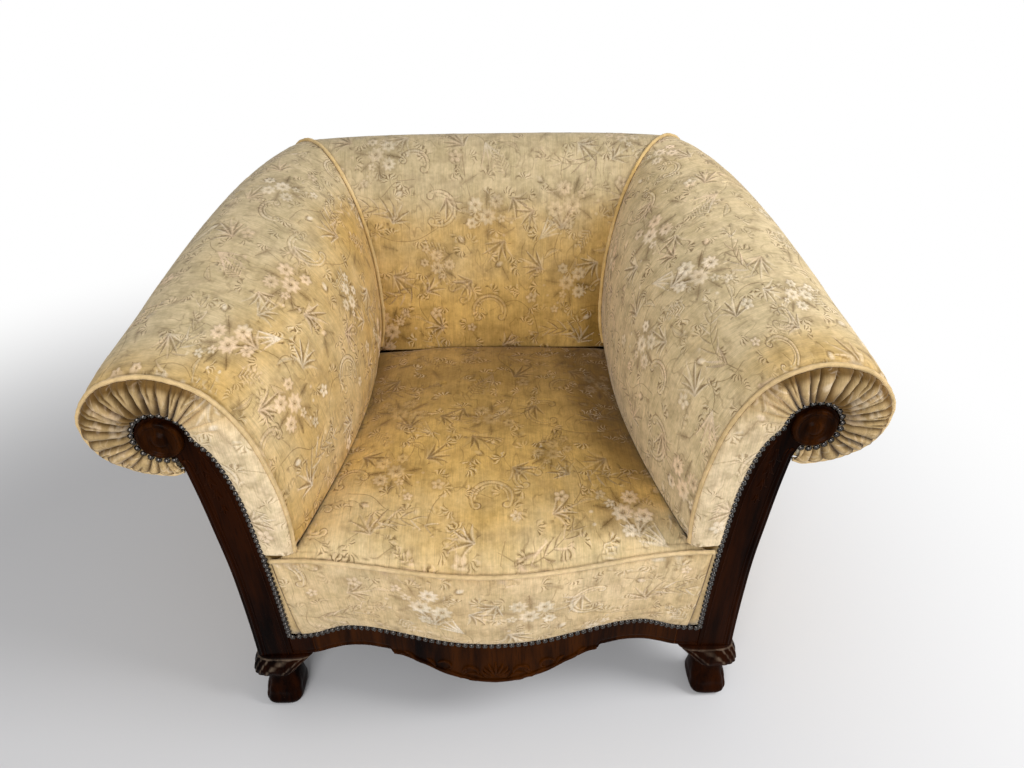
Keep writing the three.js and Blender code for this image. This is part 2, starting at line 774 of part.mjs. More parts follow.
const armFrontPad = () =>
  slab(
    sectionSteps,
    4,
    (i, j) => panelPoint(i, j, coverThickness + clothGap),
    (i, j) => panelPoint(i, j, 0).setY(stumpFront - fit),
  );

function weltTube(points, steps) {
  return tube(spline(points), weltRadius, steps, weltSides);
}

function armWelt() {
  const points = Array.from({ length: weltKnots + 1 }, (_, k) =>
    face.front.getPoint(k / weltKnots).setY(armFrontY - weltRadius - fit));
  return weltTube(points, armWeltSteps);
}

// The seam welt stands on the joint between arm and back covers.
function seamWelt() {
  const points = Array.from({ length: weltKnots + 1 }, (_, k) => {
    const s = lerp(seamWeltShares[0], seamWeltShares[1], k / weltKnots);
    const nested = (weltRadius + 4 * fit) / Math.cos(Math.PI / 4);
    const proud = lerp(nested, seamWeltLiftShare * weltRadius, smooth(0.3, 0.5, s));
    const way = face.corner.getPoint(s).sub(core.corner.getPoint(s)).normalize();
    return face.corner.getPoint(s).addScaledVector(way, proud);
  });
  return weltTube(points, seamWeltSteps);
}

// Seat

const armFootPoint = (y) => armPoint(face, 0, shareAt((t) => armPoint(face, 0, t), "y", y));
const seatBackY = (x) => {
  const t = shareAt((share) => backPoint(face, 0, share).multiplyScalar(-1), "x", -Math.abs(x));
  return backPoint(face, 0, t).y - seatSideGap;
};
const borderHalf = (z, share) =>
  edgeX(innerEdge, z) - nailOffset - nailRadius - fit - borderEdgeInset * share;
const weltZ = (x) => seatWeltZ - seatWeltFall * (Math.abs(x) / railHalfLength) ** 4;
const weltY = (x) => bowAt(x) - borderProud;

function seatPoint(i, j, drop) {
  const [u, v] = [i / seatSteps, j / seatSteps];
  const yFront = armFrontY - borderProud;
  const ySide = lerp(yFront, seatBackY(halfWidth * cornerShares[0][0]), v);
  const side = armFootPoint(Math.max(armFrontY, ySide));
  const x = lerp(-1, 1, u) * (side.x - seatSideGap);
  const front = weltY(x) + weltRadius + fit;
  const y = lerp(front, seatBackY(x), v);
  const rise = 1 - Math.abs(lerp(-1, 1, u)) ** 3;
  const edge = lerp(weltZ(x), side.z - seatEdgeDrop, smooth(0, seatEdgeShare, v));
  const run = Math.min(1, seatRiseShare + seatRunShare * v);
  const crown = seatCrown * rise * Math.sin(Math.PI * run) ** 0.6;
  return vec(x, y, edge + crown * smooth(0, seatRiseShare, v) - drop);
}

const seatCover = () =>
  slab(seatSteps, seatSteps, (i, j) => seatPoint(i, j, 0), (i, j) => seatPoint(i, j, coverThickness));

const hessianTop = hessianZ + clothThickness;

const seatStuffing = () =>
  slab(
    seatSteps,
    seatSteps,
    (i, j) => seatPoint(i, j, coverThickness + clothGap),
    (i, j) => seatPoint(i, j, 0).setZ(hessianTop + fit),
  );

function borderPoint(i, j, depth, half) {
  const share = lerp(-1, 1, i / borderSteps);
  const rows = [0, borderTuckShare, ...borderRowShares];
  const level = lerp(railTop(railHalfLength), seatWeltZ, rows[j]);
  const x = share * (half ?? borderHalf(level, rows[j] ** 0.7));
  const z = lerp(railTop(x) + borderLift, weltZ(x) - seam, rows[j]);
  const crowned = borderProud + borderCrown;
  const proud = [-clothGap, -clothGap, crowned - borderCrown / 2, crowned, borderProud][j];
  return vec(x, bowAt(x) - proud + depth, z);
}

const seatBorder = () =>
  slab(borderSteps, 4, (i, j) => borderPoint(i, j, 0), (i, j) => borderPoint(i, j, coverThickness));

function borderStuffing() {
  const half = edgeX(innerEdge, railTop(railHalfLength)) - sideStripWidth - seatSideGap;
  const at = (depthOf) => (i, j) => {
    const point = borderPoint(i, j, depthOf(j), half);
    if (j === 0) point.z += borderLift;
    return j === 3 ? point.setZ(hessianZ - fit) : point;
  };
  const front = at((j) => coverThickness + (j === 2 ? 1 : 3) * clothGap);
  const flat = at(() => 0);
  return slab(borderSteps, 3, front, (i, j) => flat(i, j).setY(facingThickness));
}

function sideStrip() {
  const steps = 4;
  const at = (depth) => (i, j) => {
    const low = railTop(railHalfLength - sideStripWidth) + borderLift;
    const z = lerp(low, seatWeltZ - seam - seatWeltFall, i / steps);
    const edge = edgeX(innerEdge, z) - boardGap;
    return vec(edge - (1 - j) * sideStripWidth, sideStripSetback + depth, z);
  };
  return slab(steps, 1, at(0), at(coverThickness));
}

function seatWelt() {
  const half = borderHalf(seatWeltZ, 1) + seam;
  const points = Array.from({ length: weltKnots + 1 }, (_, k) => {
    const x = lerp(-half, half, k / weltKnots);
    return vec(x, weltY(x), weltZ(x));
  });
  return weltTube(points, seatWeltSteps);
}

// Springs and cloths under the seat

function spring(x, y, low, high) {
  const steps = springSteps * springTurns;
  const points = Array.from({ length: steps + 1 }, (_, k) => {
    const share = k / steps;
    const radius = lerp(springEndRadius, springWaistRadius, Math.sin(Math.PI * share));
    const angle = 2 * Math.PI * springTurns * share;
    return vec(x + radius * Math.cos(angle), y + radius * Math.sin(angle), lerp(low, high, share));
  });
  return tube(spline(points), springWire, steps, 4);
}

const lathTop = seatRailFoot + lathThickness;
const springXs = [-1, 0, 1].map((k) => k * springPitchX);
const sideAt = (y) => outsideArm(1, (y - stumpFront) / (outsideCorner(1).y - stumpFront), frameDepth).x;

// Three springs riveted to a steel lath that lies in notches under the side rails.
function springRow(k) {
  const y = springFirstY + k * springPitchY;
  const half = sideAt(y) - seatRailThickness / 2;
  const lath = box(-half, half, y - lathWidth / 2, y + lathWidth / 2, seatRailFoot, lathTop);
  const top = hessianZ - fit - 2 * springWire;
  return joined([lath, ...springXs.map((x) => spring(x, y, lathTop, top))]);
}

const lathNotches = () =>
  Array.from({ length: springRows }, (_, k) => {
    const y = springFirstY + k * springPitchY;
    const half = sideAt(y) - seatRailThickness / 2 + fit;
    const reach = lathWidth / 2 + fit;
    return box(-half, half, y - reach, y + reach, seatRailFoot - lathThickness, lathTop + fit);
  });

function seatHessian() {
  const at = (z) => (i, j) => {
    const y = lerp(facingThickness, seatBackY(halfWidth * cornerShares[0][0]), j / clothSteps);
    return vec(lerp(-1, 1, i) * (armFootPoint(y).x - seatSideGap), y, z);
  };
  return slab(1, clothSteps, at(hessianTop), at(hessianZ));
}

// The bottom cloth is cut round the stumps and the rear legs.
function bottomCloth() {
  const [front, rear] = [stumpFront, postBackY(coverFoot)];
  const [notchFront, notchRear] = [stumpBack + seatSideGap, backRailFront - postRailDepth / 2];
  const inner = Math.min(postInner, innerRailHalf) - seatSideGap;
  const half = [
    [inner, front], [inner, notchFront], [sideAt(notchFront), notchFront],
    [sideAt(notchRear), notchRear], [inner, notchRear], [inner, rear],
  ];
  const outline = [...half, ...half.map(([x, y]) => [-x, y]).reverse()];
  const shape = new THREE.Shape(outline.map(([x, y]) => new THREE.Vector2(x, y)));
  const geometry = new THREE.ExtrudeGeometry(shape, { depth: clothThickness, bevelEnabled: false });
  geometry.translate(0, 0, bottomClothZ);
  return outward(weld(geometry));
}

// Each seat rail has a tenon at either end, in a mortise of its stump or post.
function tenon(centre, width, grow) {
  const [x, y, z] = [width.x, width.y, width.z].map((size) => size / 2 + grow);
  return box(centre.x - x, centre.x + x, centre.y - y, centre.y + y, centre.z - z, centre.z + z);
}

function tenons(grow) {
  const z = lerp(seatRailFoot, railTopZ, 0.5);
  const height = seatRailHeight * tenonHeightShare;
  const thick = seatRailThickness * tenonWidthShare;
  const across = vec(2 * tenonLength, thick, height);
  const along = vec(thick, 2 * tenonLength, height);
  const sideX = (y) => sideAt(y) - seatRailThickness / 2;
  const rearY = postFrontY(railTopZ);
  return {
    inner: tenon(vec(innerRailHalf, stumpFront + seatRailThickness / 2, z), across, grow),
    sideFront: tenon(vec(sideX(stumpBack), stumpBack, z), along, grow),
    sideRear: tenon(vec(sideX(rearY), rearY, z), along, grow),
    back: tenon(vec(postInner, backRailFront + seatRailThickness / 2, z), across, grow),
  };
}

const [pegs, holes] = [tenons(0), tenons(fit)];

// Nails

// A strip of dome nails: a bead at every nail and a thin web between them.
function nailStripAlong(points, faceOf) {
  const line = new THREE.CurvePath();
  for (let k = 0; k + 1 < points.length; k++) line.add(new THREE.LineCurve3(points[k], points[k + 1]));
  const length = line.getLength();
  const count = Math.round(length / nailPitch);
  const rings = [];
  const ringAt = (share, half, height) => {
    const place = line.getPoint(share);
    const way = line.getTangent(share);
    const out = faceOf(place);
    const side = out.clone().cross(way).normalize().multiplyScalar(half);
    const lift = out.clone().multiplyScalar(height);
    const base = place.addScaledVector(out, fit);
    const top = side.clone().multiplyScalar(nailTopShare);
    rings.push([
      base.clone().sub(side), base.clone().sub(top).add(lift),
      base.clone().add(top).add(lift), base.clone().add(side),
    ]);
  };
  for (let k = 0; k <= count; k++) {
    ringAt(lerp(nailEndShare, 1 - nailEndShare, k / count), nailRadius, nailHeight);
    if (k < count) ringAt((k + 0.5) / count, nailRadius * nailWebShare, nailHeight * nailWebShare);
  }
  return loft(rings);
}

function facingNails() {
  const line = [];
  for (let k = sectionSteps; k >= 0; k--) line.push(boardEdge(sectionAt(k), nailOffset));
  const foot = railTop(railHalfLength) + nailRadius + nailOffset;
  for (let k = 1; k <= edgeSteps / 2; k++) {
    const z = lerp(armFoot, foot, (2 * k) / edgeSteps);
    line.push(vec(edgeX(innerEdge, z) - nailOffset, 0, z));
  }
  return nailStripAlong(line, () => vec(0, -1, 0));
}

function railNails() {
  const half = edgeX(innerEdge, railTop(railHalfLength)) - nailOffset - nailRadius;
  const line = Array.from({ length: railSteps + 1 }, (_, k) => {
    const x = lerp(-half, half, k / railSteps);
    return vec(x, bowAt(x), railTop(x) + nailOffset);
  });
  const slope = (x) => (bowAt(x + nailRadius) - bowAt(x - nailRadius)) / (2 * nailRadius);
  return nailStripAlong(line, (place) => vec(slope(place.x), -1, 0).normalize());
}

// Assembly

const finish = {
  mahogany: { color: 0x2a120b, roughness: 0.35 },
  beech: { color: 0xb98f5f, roughness: 0.7 },
  moquette: { color: 0xcdae6a, roughness: 0.95 },
  paleMoquette: { color: 0xdccb9c, roughness: 0.95 },
  stuffing: { color: 0xe6ddca, roughness: 1 },
  hessian: { color: 0x9a7d4f, roughness: 1 },
  bronze: { color: 0x4a3620, roughness: 0.4, metalness: 0.9 },
  steel: { color: 0x8d8f92, roughness: 0.4, metalness: 0.9 },
  cotton: { color: 0x1f1f1f, roughness: 1 },
};
const chair = new THREE.Group();

function add(name, geometry, look) {
  const mesh = new THREE.Mesh(geometry, new THREE.MeshStandardMaterial(finish[look]));
  mesh.name = name;
  chair.add(mesh);
}

function addPair(name, geometry, look) {
  add(`right_${name}`, geometry, look);
  add(`left_${name}`, mirrored(geometry), look);
}

const right = vec(1, 0, 0);
const rear = vec(0, 1, 0);

addPair("arm_facing", facing(), "mahogany");
addPair("roundel", roundel(), "mahogany");
add("front_rail", railPiece(-railBlockInner, railBlockInner, railSteps), "mahogany");
addPair("front_rail_block", railPiece(railBlockInner + fit, railHalfLength, 4), "mahogany");
addPair("front_foot", footSolid(), "mahogany");
addPair("arm_stump", cut(stump(), [holes.inner, holes.sideFront]), "beech");
addPair("rear_post", cut(rearPostFitted(), [holes.sideRear, holes.back]), "beech");
add("inner_front_rail", joined([innerRail(), pegs.inner, mirrored(pegs.inner)]), "beech");
add("back_seat_rail", joined([backRail(), pegs.back, mirrored(pegs.back)]), "beech");
const peggedSideRail = joined([sideRail(), pegs.sideFront, pegs.sideRear]);
addPair("side_seat_rail", cut(peggedSideRail, lathNotches()), "beech");
addPair("front_corner_block", frontCornerBlock(), "beech");
addPair("arm_roll_rail", armRollRail(0), "beech");
add("back_roll_rail", backRollRail(0), "beech");
addPair("arm_tack_rail", tackRail(armPoint, armRailRow, armSteps + 1, 1, right), "beech");
add("back_tack_rail", tackRail(backPoint, backRow, backSteps, 0, rear), "beech");
addPair("arm_hessian", hessianSheet(armPoint, armRow, 2, armSteps, right), "hessian");
add("back_hessian", hessianSheet(backPoint, backRow, 1, backSteps - 1, rear), "hessian");
["front", "middle", "rear"].forEach((name, k) => add(`${name}_spring_row`, springRow(k), "steel"));
add("seat_hessian", seatHessian(), "hessian");
add("bottom_cloth", bottomCloth(), "cotton");
add("seat_stuffing", seatStuffing(), "stuffing");
add("seat_front_stuffing", borderStuffing(), "stuffing");
addPair("arm_stuffing", stuffing(armPoint, armRow, 1, armSteps), "stuffing");
addPair("arm_front_pad", armFrontPad(), "stuffing");
add("back_stuffing", stuffing(backPoint, backRow, 0, backSteps), "stuffing");
add("seat_cover", seatCover(), "moquette");
add("seat_front_border", seatBorder(), "paleMoquette");
addPair("seat_side_strip", sideStrip(), "paleMoquette");
addPair("inside_arm_cover", cover(armPoint, armRow, armSteps + 1), "moquette");
add("inside_back_cover", cover(backPoint, backRow, backSteps), "moquette");
addPair("arm_front_panel", armPanel(), "paleMoquette");
addPair("outside_arm_cover", outsideArmCover(), "moquette");
add("outside_back_cover", outsideBackCover(), "moquette");
addPair("arm_front_welt", armWelt(), "moquette");
addPair("back_seam_welt", seamWelt(), "moquette");
add("seat_front_welt", seatWelt(), "moquette");
addPair("facing_nails", facingNails(), "bronze");
add("front_rail_nails", railNails(), "bronze");

const bounds = new THREE.Box3().setFromObject(chair, true);
chair.position.set(0, -(bounds.min.y + bounds.max.y) / 2, -bounds.min.z);

export default chair;
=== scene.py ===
"""Looks for a bergere armchair: moquette covers with a woven floral figure over lofted stuffing,
ruched arm fronts, carved mahogany show wood and dome nails, around the fixed CAD frame.
Shapes are worked out in millimetres, with y = 0 at the front of the arm facing boards."""
import bpy
import bmesh
import math
import numpy as np
from contextlib import contextmanager
from mathutils import Matrix, Vector, geometry


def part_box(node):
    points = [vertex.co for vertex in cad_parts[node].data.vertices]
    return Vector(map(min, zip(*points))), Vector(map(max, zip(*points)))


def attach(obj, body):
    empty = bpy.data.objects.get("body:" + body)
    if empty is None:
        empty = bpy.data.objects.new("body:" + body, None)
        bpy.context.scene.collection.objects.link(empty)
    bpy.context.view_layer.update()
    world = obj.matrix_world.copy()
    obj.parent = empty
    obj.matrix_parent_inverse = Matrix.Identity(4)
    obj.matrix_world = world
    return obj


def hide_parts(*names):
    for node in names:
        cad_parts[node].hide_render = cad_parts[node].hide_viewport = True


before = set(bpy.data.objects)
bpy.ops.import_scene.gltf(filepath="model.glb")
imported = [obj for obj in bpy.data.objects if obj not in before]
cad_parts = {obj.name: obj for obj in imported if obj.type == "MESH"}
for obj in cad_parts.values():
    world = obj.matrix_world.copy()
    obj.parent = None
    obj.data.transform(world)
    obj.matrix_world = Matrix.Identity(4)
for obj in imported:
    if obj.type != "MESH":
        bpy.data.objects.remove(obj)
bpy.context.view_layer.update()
MM = 0.001
FRONT_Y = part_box("right_arm_facing")[0][1]
SIDES = ((1, "right"), (-1, "left"))
TURN = 2 * np.pi

# Overall sizes of the CAD, in millimetres.
HALF_WIDTH, BACK_REACH, BACK_FOOT, CREST = 541, 766, 385, 790
ARM_FOOT, ARM_HEIGHT, ARM_FRONT_Y = 367, 688, 8
FACING_FOOT, HEAD_RADIUS, FACING_THICK = 116.3, 35.5, 22
RAIL_HALF, RAIL_BLOCK, RAIL_BOW, RAIL_HEIGHT = 344.66, 305.96, 45, 64
FOOT_TOP, FOOT_DEPTH = 116, 78
SEAT_WELT_Z, SEAT_WELT_FALL, SEAT_CROWN = 360, 5, 30
COVER_FOOT = 120

# Sections from the seat over the roll to the outside: shares of the half width or the back's reach,
# then of the height between foot and crest.
ARM_FRONT = [
    (.555, 0), (.553, .227), (.567, .446), (.603, .695), (.669, .888), (.754, .981), (.841, 1),
    (.937, .944), (1, .794), (.982, .626), (.911, .533), (.828, .498), (.786, .511)]
ARM_CORE = [
    (.636, .02), (.647, .227), (.664, .43), (.695, .62), (.725, .745), (.765, .818), (.828, .844),
    (.884, .81), (.913, .741), (.906, .655), (.872, .572), (.824, .538), (.792, .545)]
CORNER = [
    (.444, .713, 0), (.423, .722, .136), (.42, .731, .296), (.434, .749, .511), (.481, .783, .753),
    (.558, .838, .931), (.638, .901, .983), (.713, .954, .938), (.754, .99, .82), (.749, .987, .699),
    (.723, .965, .632), (.691, .936, .605), (.669, .919, .607)]
CORNER_CORE = [
    (.58, .812, .007), (.579, .812, .136), (.581, .816, .296), (.586, .83, .511), (.6, .85, .67),
    (.616, .872, .775), (.64, .9, .83), (.665, .921, .822), (.681, .933, .785), (.681, .933, .735),
    (.671, .922, .696), (.657, .912, .671), (.647, .904, .664)]
BACK = [
    (.715, 0), (.713, .136), (.725, .296), (.749, .511), (.783, .753), (.839, .941), (.903, 1),
    (.963, .965), (1, .852), (.997, .738), (.977, .659), (.943, .63), (.92, .635)]
BACK_CORE = [
    (.82, .007), (.822, .136), (.828, .296), (.842, .511), (.862, .69), (.883, .81), (.911, .868),
    (.937, .855), (.953, .805), (.953, .753), (.944, .709), (.931, .684), (.918, .677)]
# Edges of the facing board and of the rail, as shares of their width and height.
FACING_OUTER = [
    (.749, 0), (.747, .124), (.747, .281), (.75, .45), (.76, .618), (.77, .765), (.783, .902)]
FACING_INNER = [
    (.638, 0), (.64, .124), (.643, .281), (.649, .45), (.658, .618), (.67, .765), (.697, .902),
    (.726, .975)]
RAIL_TOP = [
    (0, 1.12), (.2, 1.15), (.36, 1.245), (.5, 1.325), (.595, 1.34), (.704, 1.265), (.777, 1.09),
    (.87, .84), (1, .7)]
RAIL_BOTTOM = [
    (0, -.35), (.087, -.3), (.16, -.2), (.246, -.05), (.333, .22), (.435, .47), (.49, .5),
    (.5, .62), (.55, .64), (.623, .64), (.716, .53), (.797, .34), (.884, .12), (1, .012)]
# The foot from its top down: height, inner and outer x, front and back y, all as shares.
FOOT = [
    (1, .573, .753, -.04, .8), (.9, .594, .767, -.11, .78), (.76, .627, .775, -.17, .74),
    (.66, .643, .773, -.155, .72), (.635, .651, .73, -.1, .66), (.56, .65, .731, -.075, .64),
    (.44, .643, .742, -.12, .64), (.27, .639, .75, -.18, .64), (.1, .643, .751, -.205, .64),
    (0, .65, .743, -.16, .6)]


def smooth(a, b, x):
    t = np.clip((np.asarray(x, float) - a) / (b - a), 0, 1)
    return t * t * (3 - 2 * t)


def lerp(a, b, t):
    return a + (b - a) * t


def unit(ways):
    return ways / np.maximum(np.linalg.norm(ways, axis=-1), 1e-9)[..., None]


def lengths(path):
    """Length of the path from its start to each of its points."""
    return np.concatenate([[0], np.cumsum(np.linalg.norm(np.diff(path, axis=0), axis=1))])


def catmull(points, s):
    """Uniform Catmull-Rom through the points, at shares s of its length in knots."""
    p = np.asarray(points, float)
    ext = np.vstack([2 * p[0] - p[1], p, 2 * p[-1] - p[-2]])
    q = np.clip(np.asarray(s, float), 0, 1) * (len(p) - 1)
    i = np.minimum(q.astype(int), len(p) - 2)
    w = (q - i)[..., None]
    p0, p1, p2, p3 = ext[i], ext[i + 1], ext[i + 2], ext[i + 3]
    t0, t1 = (p2 - p0) / 2, (p3 - p1) / 2
    return (2 * p1 - 2 * p2 + t0 + t1) * w**3 + (-3 * p1 + 3 * p2 - 2 * t0 - t1) * w**2 + t0 * w + p1


def hermite(p0, m0, p1, m1, t):
    t = np.asarray(t, float)[..., None]
    return (p0 * (2 * t**3 - 3 * t**2 + 1) + m0 * (t**3 - 2 * t**2 + t)
            + p1 * (3 * t**2 - 2 * t**3) + m1 * (t**3 - t**2))


def skin(front, corner, back):
    """Knots of the three sections in millimetres: arm front, corner and middle of the back."""
    return ([(x * HALF_WIDTH, ARM_FRONT_Y, lerp(ARM_FOOT, ARM_HEIGHT, z)) for x, z in front],
            [(x * HALF_WIDTH, y * BACK_REACH, lerp(BACK_FOOT, CREST, z)) for x, y, z in corner],
            [(0, y * BACK_REACH, lerp(BACK_FOOT, CREST, z)) for y, z in back])


FACE, CORE = skin(ARM_FRONT, CORNER, BACK), skin(ARM_CORE, CORNER_CORE, BACK_CORE)


def arm_point(knots, s, t):
    """Right arm: s round the section, t from the front to the seam with the back."""
    s, t = np.broadcast_arrays(np.asarray(s, float), np.asarray(t, float))
    front, corner = catmull(knots[0], s), catmull(knots[1], s)
    reach = np.linalg.norm(corner - front, axis=-1)[..., None]
    inside, roll = (1 - smooth(.25, .45, s))[..., None], smooth(.3, .5, s)[..., None]
    leave = np.concatenate([lerp(-.03, -.34, inside), np.ones_like(inside), .16 * np.ones_like(inside)], -1)
    arrive = lerp(np.array([.1, 1, .02]), np.array([-.42, .42, .06]), roll)
    return hermite(front, leave * reach, corner, arrive * reach, t)


def back_point(knots, s, t):
    """Back: t = 0 at the right seam, 1 in the middle, 2 at the left seam."""
    s, t = np.broadcast_arrays(np.asarray(s, float), np.asarray(t, float))
    flip = t > 1
    corner, middle = catmull(knots[1], s), catmull(knots[2], s)
    reach = np.linalg.norm(corner - middle, axis=-1)[..., None]
    roll = smooth(.3, .5, s)[..., None]
    leave = lerp(np.array([-1, 0, 0]), np.array([-.98, .2, .03]), roll)
    out = hermite(corner, leave * reach, middle, np.array([-1, 0, 0]) * reach, np.where(flip, 2 - t, t))
    out[..., 0] *= np.where(flip, -1, 1)
    return out


SHARES = np.linspace(0, 1, 801)
ROUNDEL_X, ROUNDEL_Z = .813 * HALF_WIDTH, lerp(ARM_FOOT, ARM_HEIGHT, .7)
INNER_EDGE, OUTER_EDGE = (
    catmull([(x * HALF_WIDTH, lerp(FACING_FOOT, ROUNDEL_Z, z)) for x, z in table], SHARES)
    for table in (FACING_INNER, FACING_OUTER))
NECK_INNER, NECK_OUTER = INNER_EDGE[-1, 1], OUTER_EDGE[-1, 1]


def inner_x(z):
    return np.interp(z, INNER_EDGE[:, 1], INNER_EDGE[:, 0])


def outer_x(z):
    return np.interp(z, OUTER_EDGE[:, 1], OUTER_EDGE[:, 0])


def rail_line(table):
    line = catmull([(x * RAIL_HALF, FACING_FOOT + z * RAIL_HEIGHT) for x, z in table], SHARES)
    return lambda x: np.interp(np.abs(x), line[:, 0], line[:, 1])


rail_top, rail_bottom = rail_line(RAIL_TOP), rail_line(RAIL_BOTTOM)


def bow(x):
    return -RAIL_BOW * (1 + np.cos(np.pi * np.minimum(1, np.abs(x) / RAIL_HALF))) / 2


# Materials


class Tree:
    """A material whose node graph is written as calls."""

    def __init__(self, name):
        self.material = bpy.data.materials.new(name)
        self.material.use_nodes = True
        self.tree = self.material.node_tree
        self.shader = self.tree.nodes["Principled BSDF"]

    def feed(self, socket, value):
        if isinstance(value, bpy.types.NodeSocket):
            self.tree.links.new(value, socket)
        else:
            socket.default_value = value

    def node(self, kind, *values, **settings):
        """A node: values fill its sockets in order, settings its properties and the sockets they name."""
        made = self.tree.nodes.new(kind)
        for key, value in settings.items():
            if key not in made.inputs:
                setattr(made, key, value)
        for socket, value in zip(made.inputs, values):
            self.feed(socket, value)
        for key, value in settings.items():
            if key in made.inputs:
                self.feed(made.inputs[key], value)
        return made

    def math(self, operation, *values):
        return self.node("ShaderNodeMath", *values, operation=operation).outputs[0]

    def times(self, *values):
        product = values[0]
        for value in values[1:]:
            product = self.math("MULTIPLY", product, value)
        return product

    def mix(self, share, a, b, blend="MIX"):
        made = self.node("ShaderNodeMix", data_type="RGBA", blend_type=blend)
        for index, value in ((0, share), (6, a), (7, b)):
            self.feed(made.inputs[index], value)
        return made.outputs[2]

    def place(self):
        return self.node("ShaderNodeTexCoord").outputs["Object"]

    def pointiness(self):
        return self.node("ShaderNodeNewGeometry").outputs["Pointiness"]

    def attribute(self, name):
        return self.node("ShaderNodeAttribute", attribute_name=name).outputs["Fac"]

    def ramp(self, value, low, high, a=0.0, b=1.0):
        return self.node("ShaderNodeMapRange", value, low, high, a, b,
                         interpolation_type="SMOOTHSTEP").outputs[0]

    def noise(self, vector, scale, detail=3.0, rough=.5, stretch=(1, 1, 1)):
        stretched = self.node("ShaderNodeMapping", Vector=vector, Scale=stretch).outputs[0]
        return self.node("ShaderNodeTexNoise", Vector=stretched, Scale=scale, Detail=detail,
                         Roughness=rough).outputs[0]

    def bump(self, height, strength, distance, **normal):
        return self.node("ShaderNodeBump", Height=height, Strength=strength, Distance=distance,
                         **normal).outputs[0]

    def finish(self, **sockets):
        for key, value in sockets.items():
            self.feed(self.shader.inputs[key.replace("_", " ")], value)
        return self.material


def rgb(r, g, b):
    """A colour given in 0..255 screen values."""
    return tuple(((c / 255) ** 2.2) for c in (r, g, b)) + (1.0,)


def scaled(colour, *factors):
    """A colour with each channel multiplied, up to white."""
    return tuple(min(1, c * f) for c, f in zip(colour, factors * (3 // len(factors)))) + (1,)


def sprigs(t, weave):
    """Small fans of short strokes, dark beside pale, that fill the ground between the larger motifs."""
    cells = t.node("ShaderNodeTexVoronoi", voronoi_dimensions="2D", Vector=weave, Scale=27.0, Randomness=.95)
    away = t.node("ShaderNodeVectorMath", weave, cells.outputs["Position"], operation="SUBTRACT").outputs[0]
    x, y, _ = t.node("ShaderNodeSeparateXYZ", away).outputs
    turned, kept, _ = t.node("ShaderNodeSeparateColor", Color=cells.outputs["Color"]).outputs
    angle = t.math("ADD", t.math("ARCTAN2", y, x), t.times(turned, 6.283))
    angle = t.math("ADD", angle, t.times(t.noise(weave, 55, 2, .5), 2.2))
    reach = cells.outputs["Distance"]
    fan = t.times(t.ramp(reach, .05, .14), t.ramp(reach, .34, .56, 1, 0),
                  t.ramp(t.math("COSINE", angle), -.2, .35), t.ramp(kept, .25, .4))
    rays = t.math("SINE", t.math("MULTIPLY_ADD", angle, 9.0, t.times(reach, 3.0)))
    return t.times(fan, t.ramp(rays, .35, .9)), t.times(fan, t.ramp(rays, -.5, -.95))


def moquette(name, deep, ground, faded, pale, dark, pale_share=.9, dark_share=.9):
    """Worn floral moquette. Its fading value runs from -1, soiled and in painted shade, over 0, sound, to 1,
    bleached.
    """
    t = Tree(name)
    weave, place = t.node("ShaderNodeUVMap", uv_map="weave").outputs[0], t.place()
    cloud = t.noise(place, 6, 4, .6)
    # Fading value plus cloud noise; its low end is soil and painted shade.
    worn = t.math("ADD", t.attribute("fade"), t.times(t.math("SUBTRACT", cloud, .5), 1.1))
    colour = t.mix(t.ramp(worn, 0, 1), t.mix(t.ramp(worn, -1, 0), deep, ground), faded)

    rub = t.ramp(t.noise(place, 19, 3, .6), .34, .62, .66, 1)
    thread = t.ramp(t.noise(weave, 700, 2, .6, (1, .5, 1)), .36, .58, .72, 1)
    keep = t.times(rub, thread)
    # The dark figure value also carries the ruched pleats' painted shade.
    light, shade, ghost = (t.attribute(key) for key in ("figure_pale", "figure_dark", "figured"))
    vein = t.math("ABSOLUTE", t.math("SUBTRACT", t.noise(weave, 44, 1.5, .4, (1, .45, 1)), .47))
    hatch = t.times(t.ramp(vein, .006, .03, 1, 0), t.ramp(t.noise(weave, 17, 1, .4), .52, .42))
    dark_sprig, pale_sprig = sprigs(t, weave)
    shade = t.math("MAXIMUM", shade, t.times(hatch, .4, ghost))
    shade = t.math("MAXIMUM", shade, t.times(dark_sprig, .95, ghost))
    light = t.math("MAXIMUM", light, t.times(pale_sprig, .45, ghost))
    bloom = t.ramp(t.noise(weave, 30, 3, .55), .48, .66, 0, .42)
    colour = t.mix(t.times(bloom, ghost), colour, t.mix(.5, colour, dark))
    colour = t.mix(t.times(shade, keep, dark_share), colour, dark)
    tint = t.mix(t.ramp(t.noise(place, 9, 1, .5), .42, .58), pale, scaled(pale, .98, .84, .74))
    colour = t.mix(t.times(light, keep, pale_share), colour, tint)
    # A grey film: painted shade on the tops of the left arm and the back.
    colour = t.mix(t.attribute("dust"), colour, rgb(122, 112, 92))

    stripe, broad = t.noise(weave, 820, 2, .6, (1, .035, 1)), t.noise(weave, 150, 2, .5, (1, .05, 1))
    tone = t.math("ADD", t.ramp(stripe, .3, .7, -.5, .5), t.ramp(broad, .3, .7, -.3, .3))
    mottle = t.math("ADD", t.ramp(t.noise(place, 30, 5, .65), .32, .68, -.6, .6),
                    t.ramp(t.noise(place, 170, 3, .6), .3, .7, -.35, .35))
    level = t.math("MULTIPLY_ADD", t.math("ADD", tone, mottle), .2, 1.0)
    blue = t.math("MULTIPLY_ADD", mottle, .05, level)
    grey = t.node("ShaderNodeCombineColor", level, level, blue).outputs[0]
    rib = t.bump(t.noise(weave, 2600, 2, .6, (1, .4, 1)), .25, .0006)
    return t.finish(Base_Color=t.mix(1.0, colour, grey, "MULTIPLY"), Roughness=.9, Sheen_Weight=.12,
                    Normal=t.bump(t.math("SUBTRACT", light, shade), .3, .0009, Normal=rib),
                    Sheen_Roughness=.5, Specular_IOR_Level=.1)


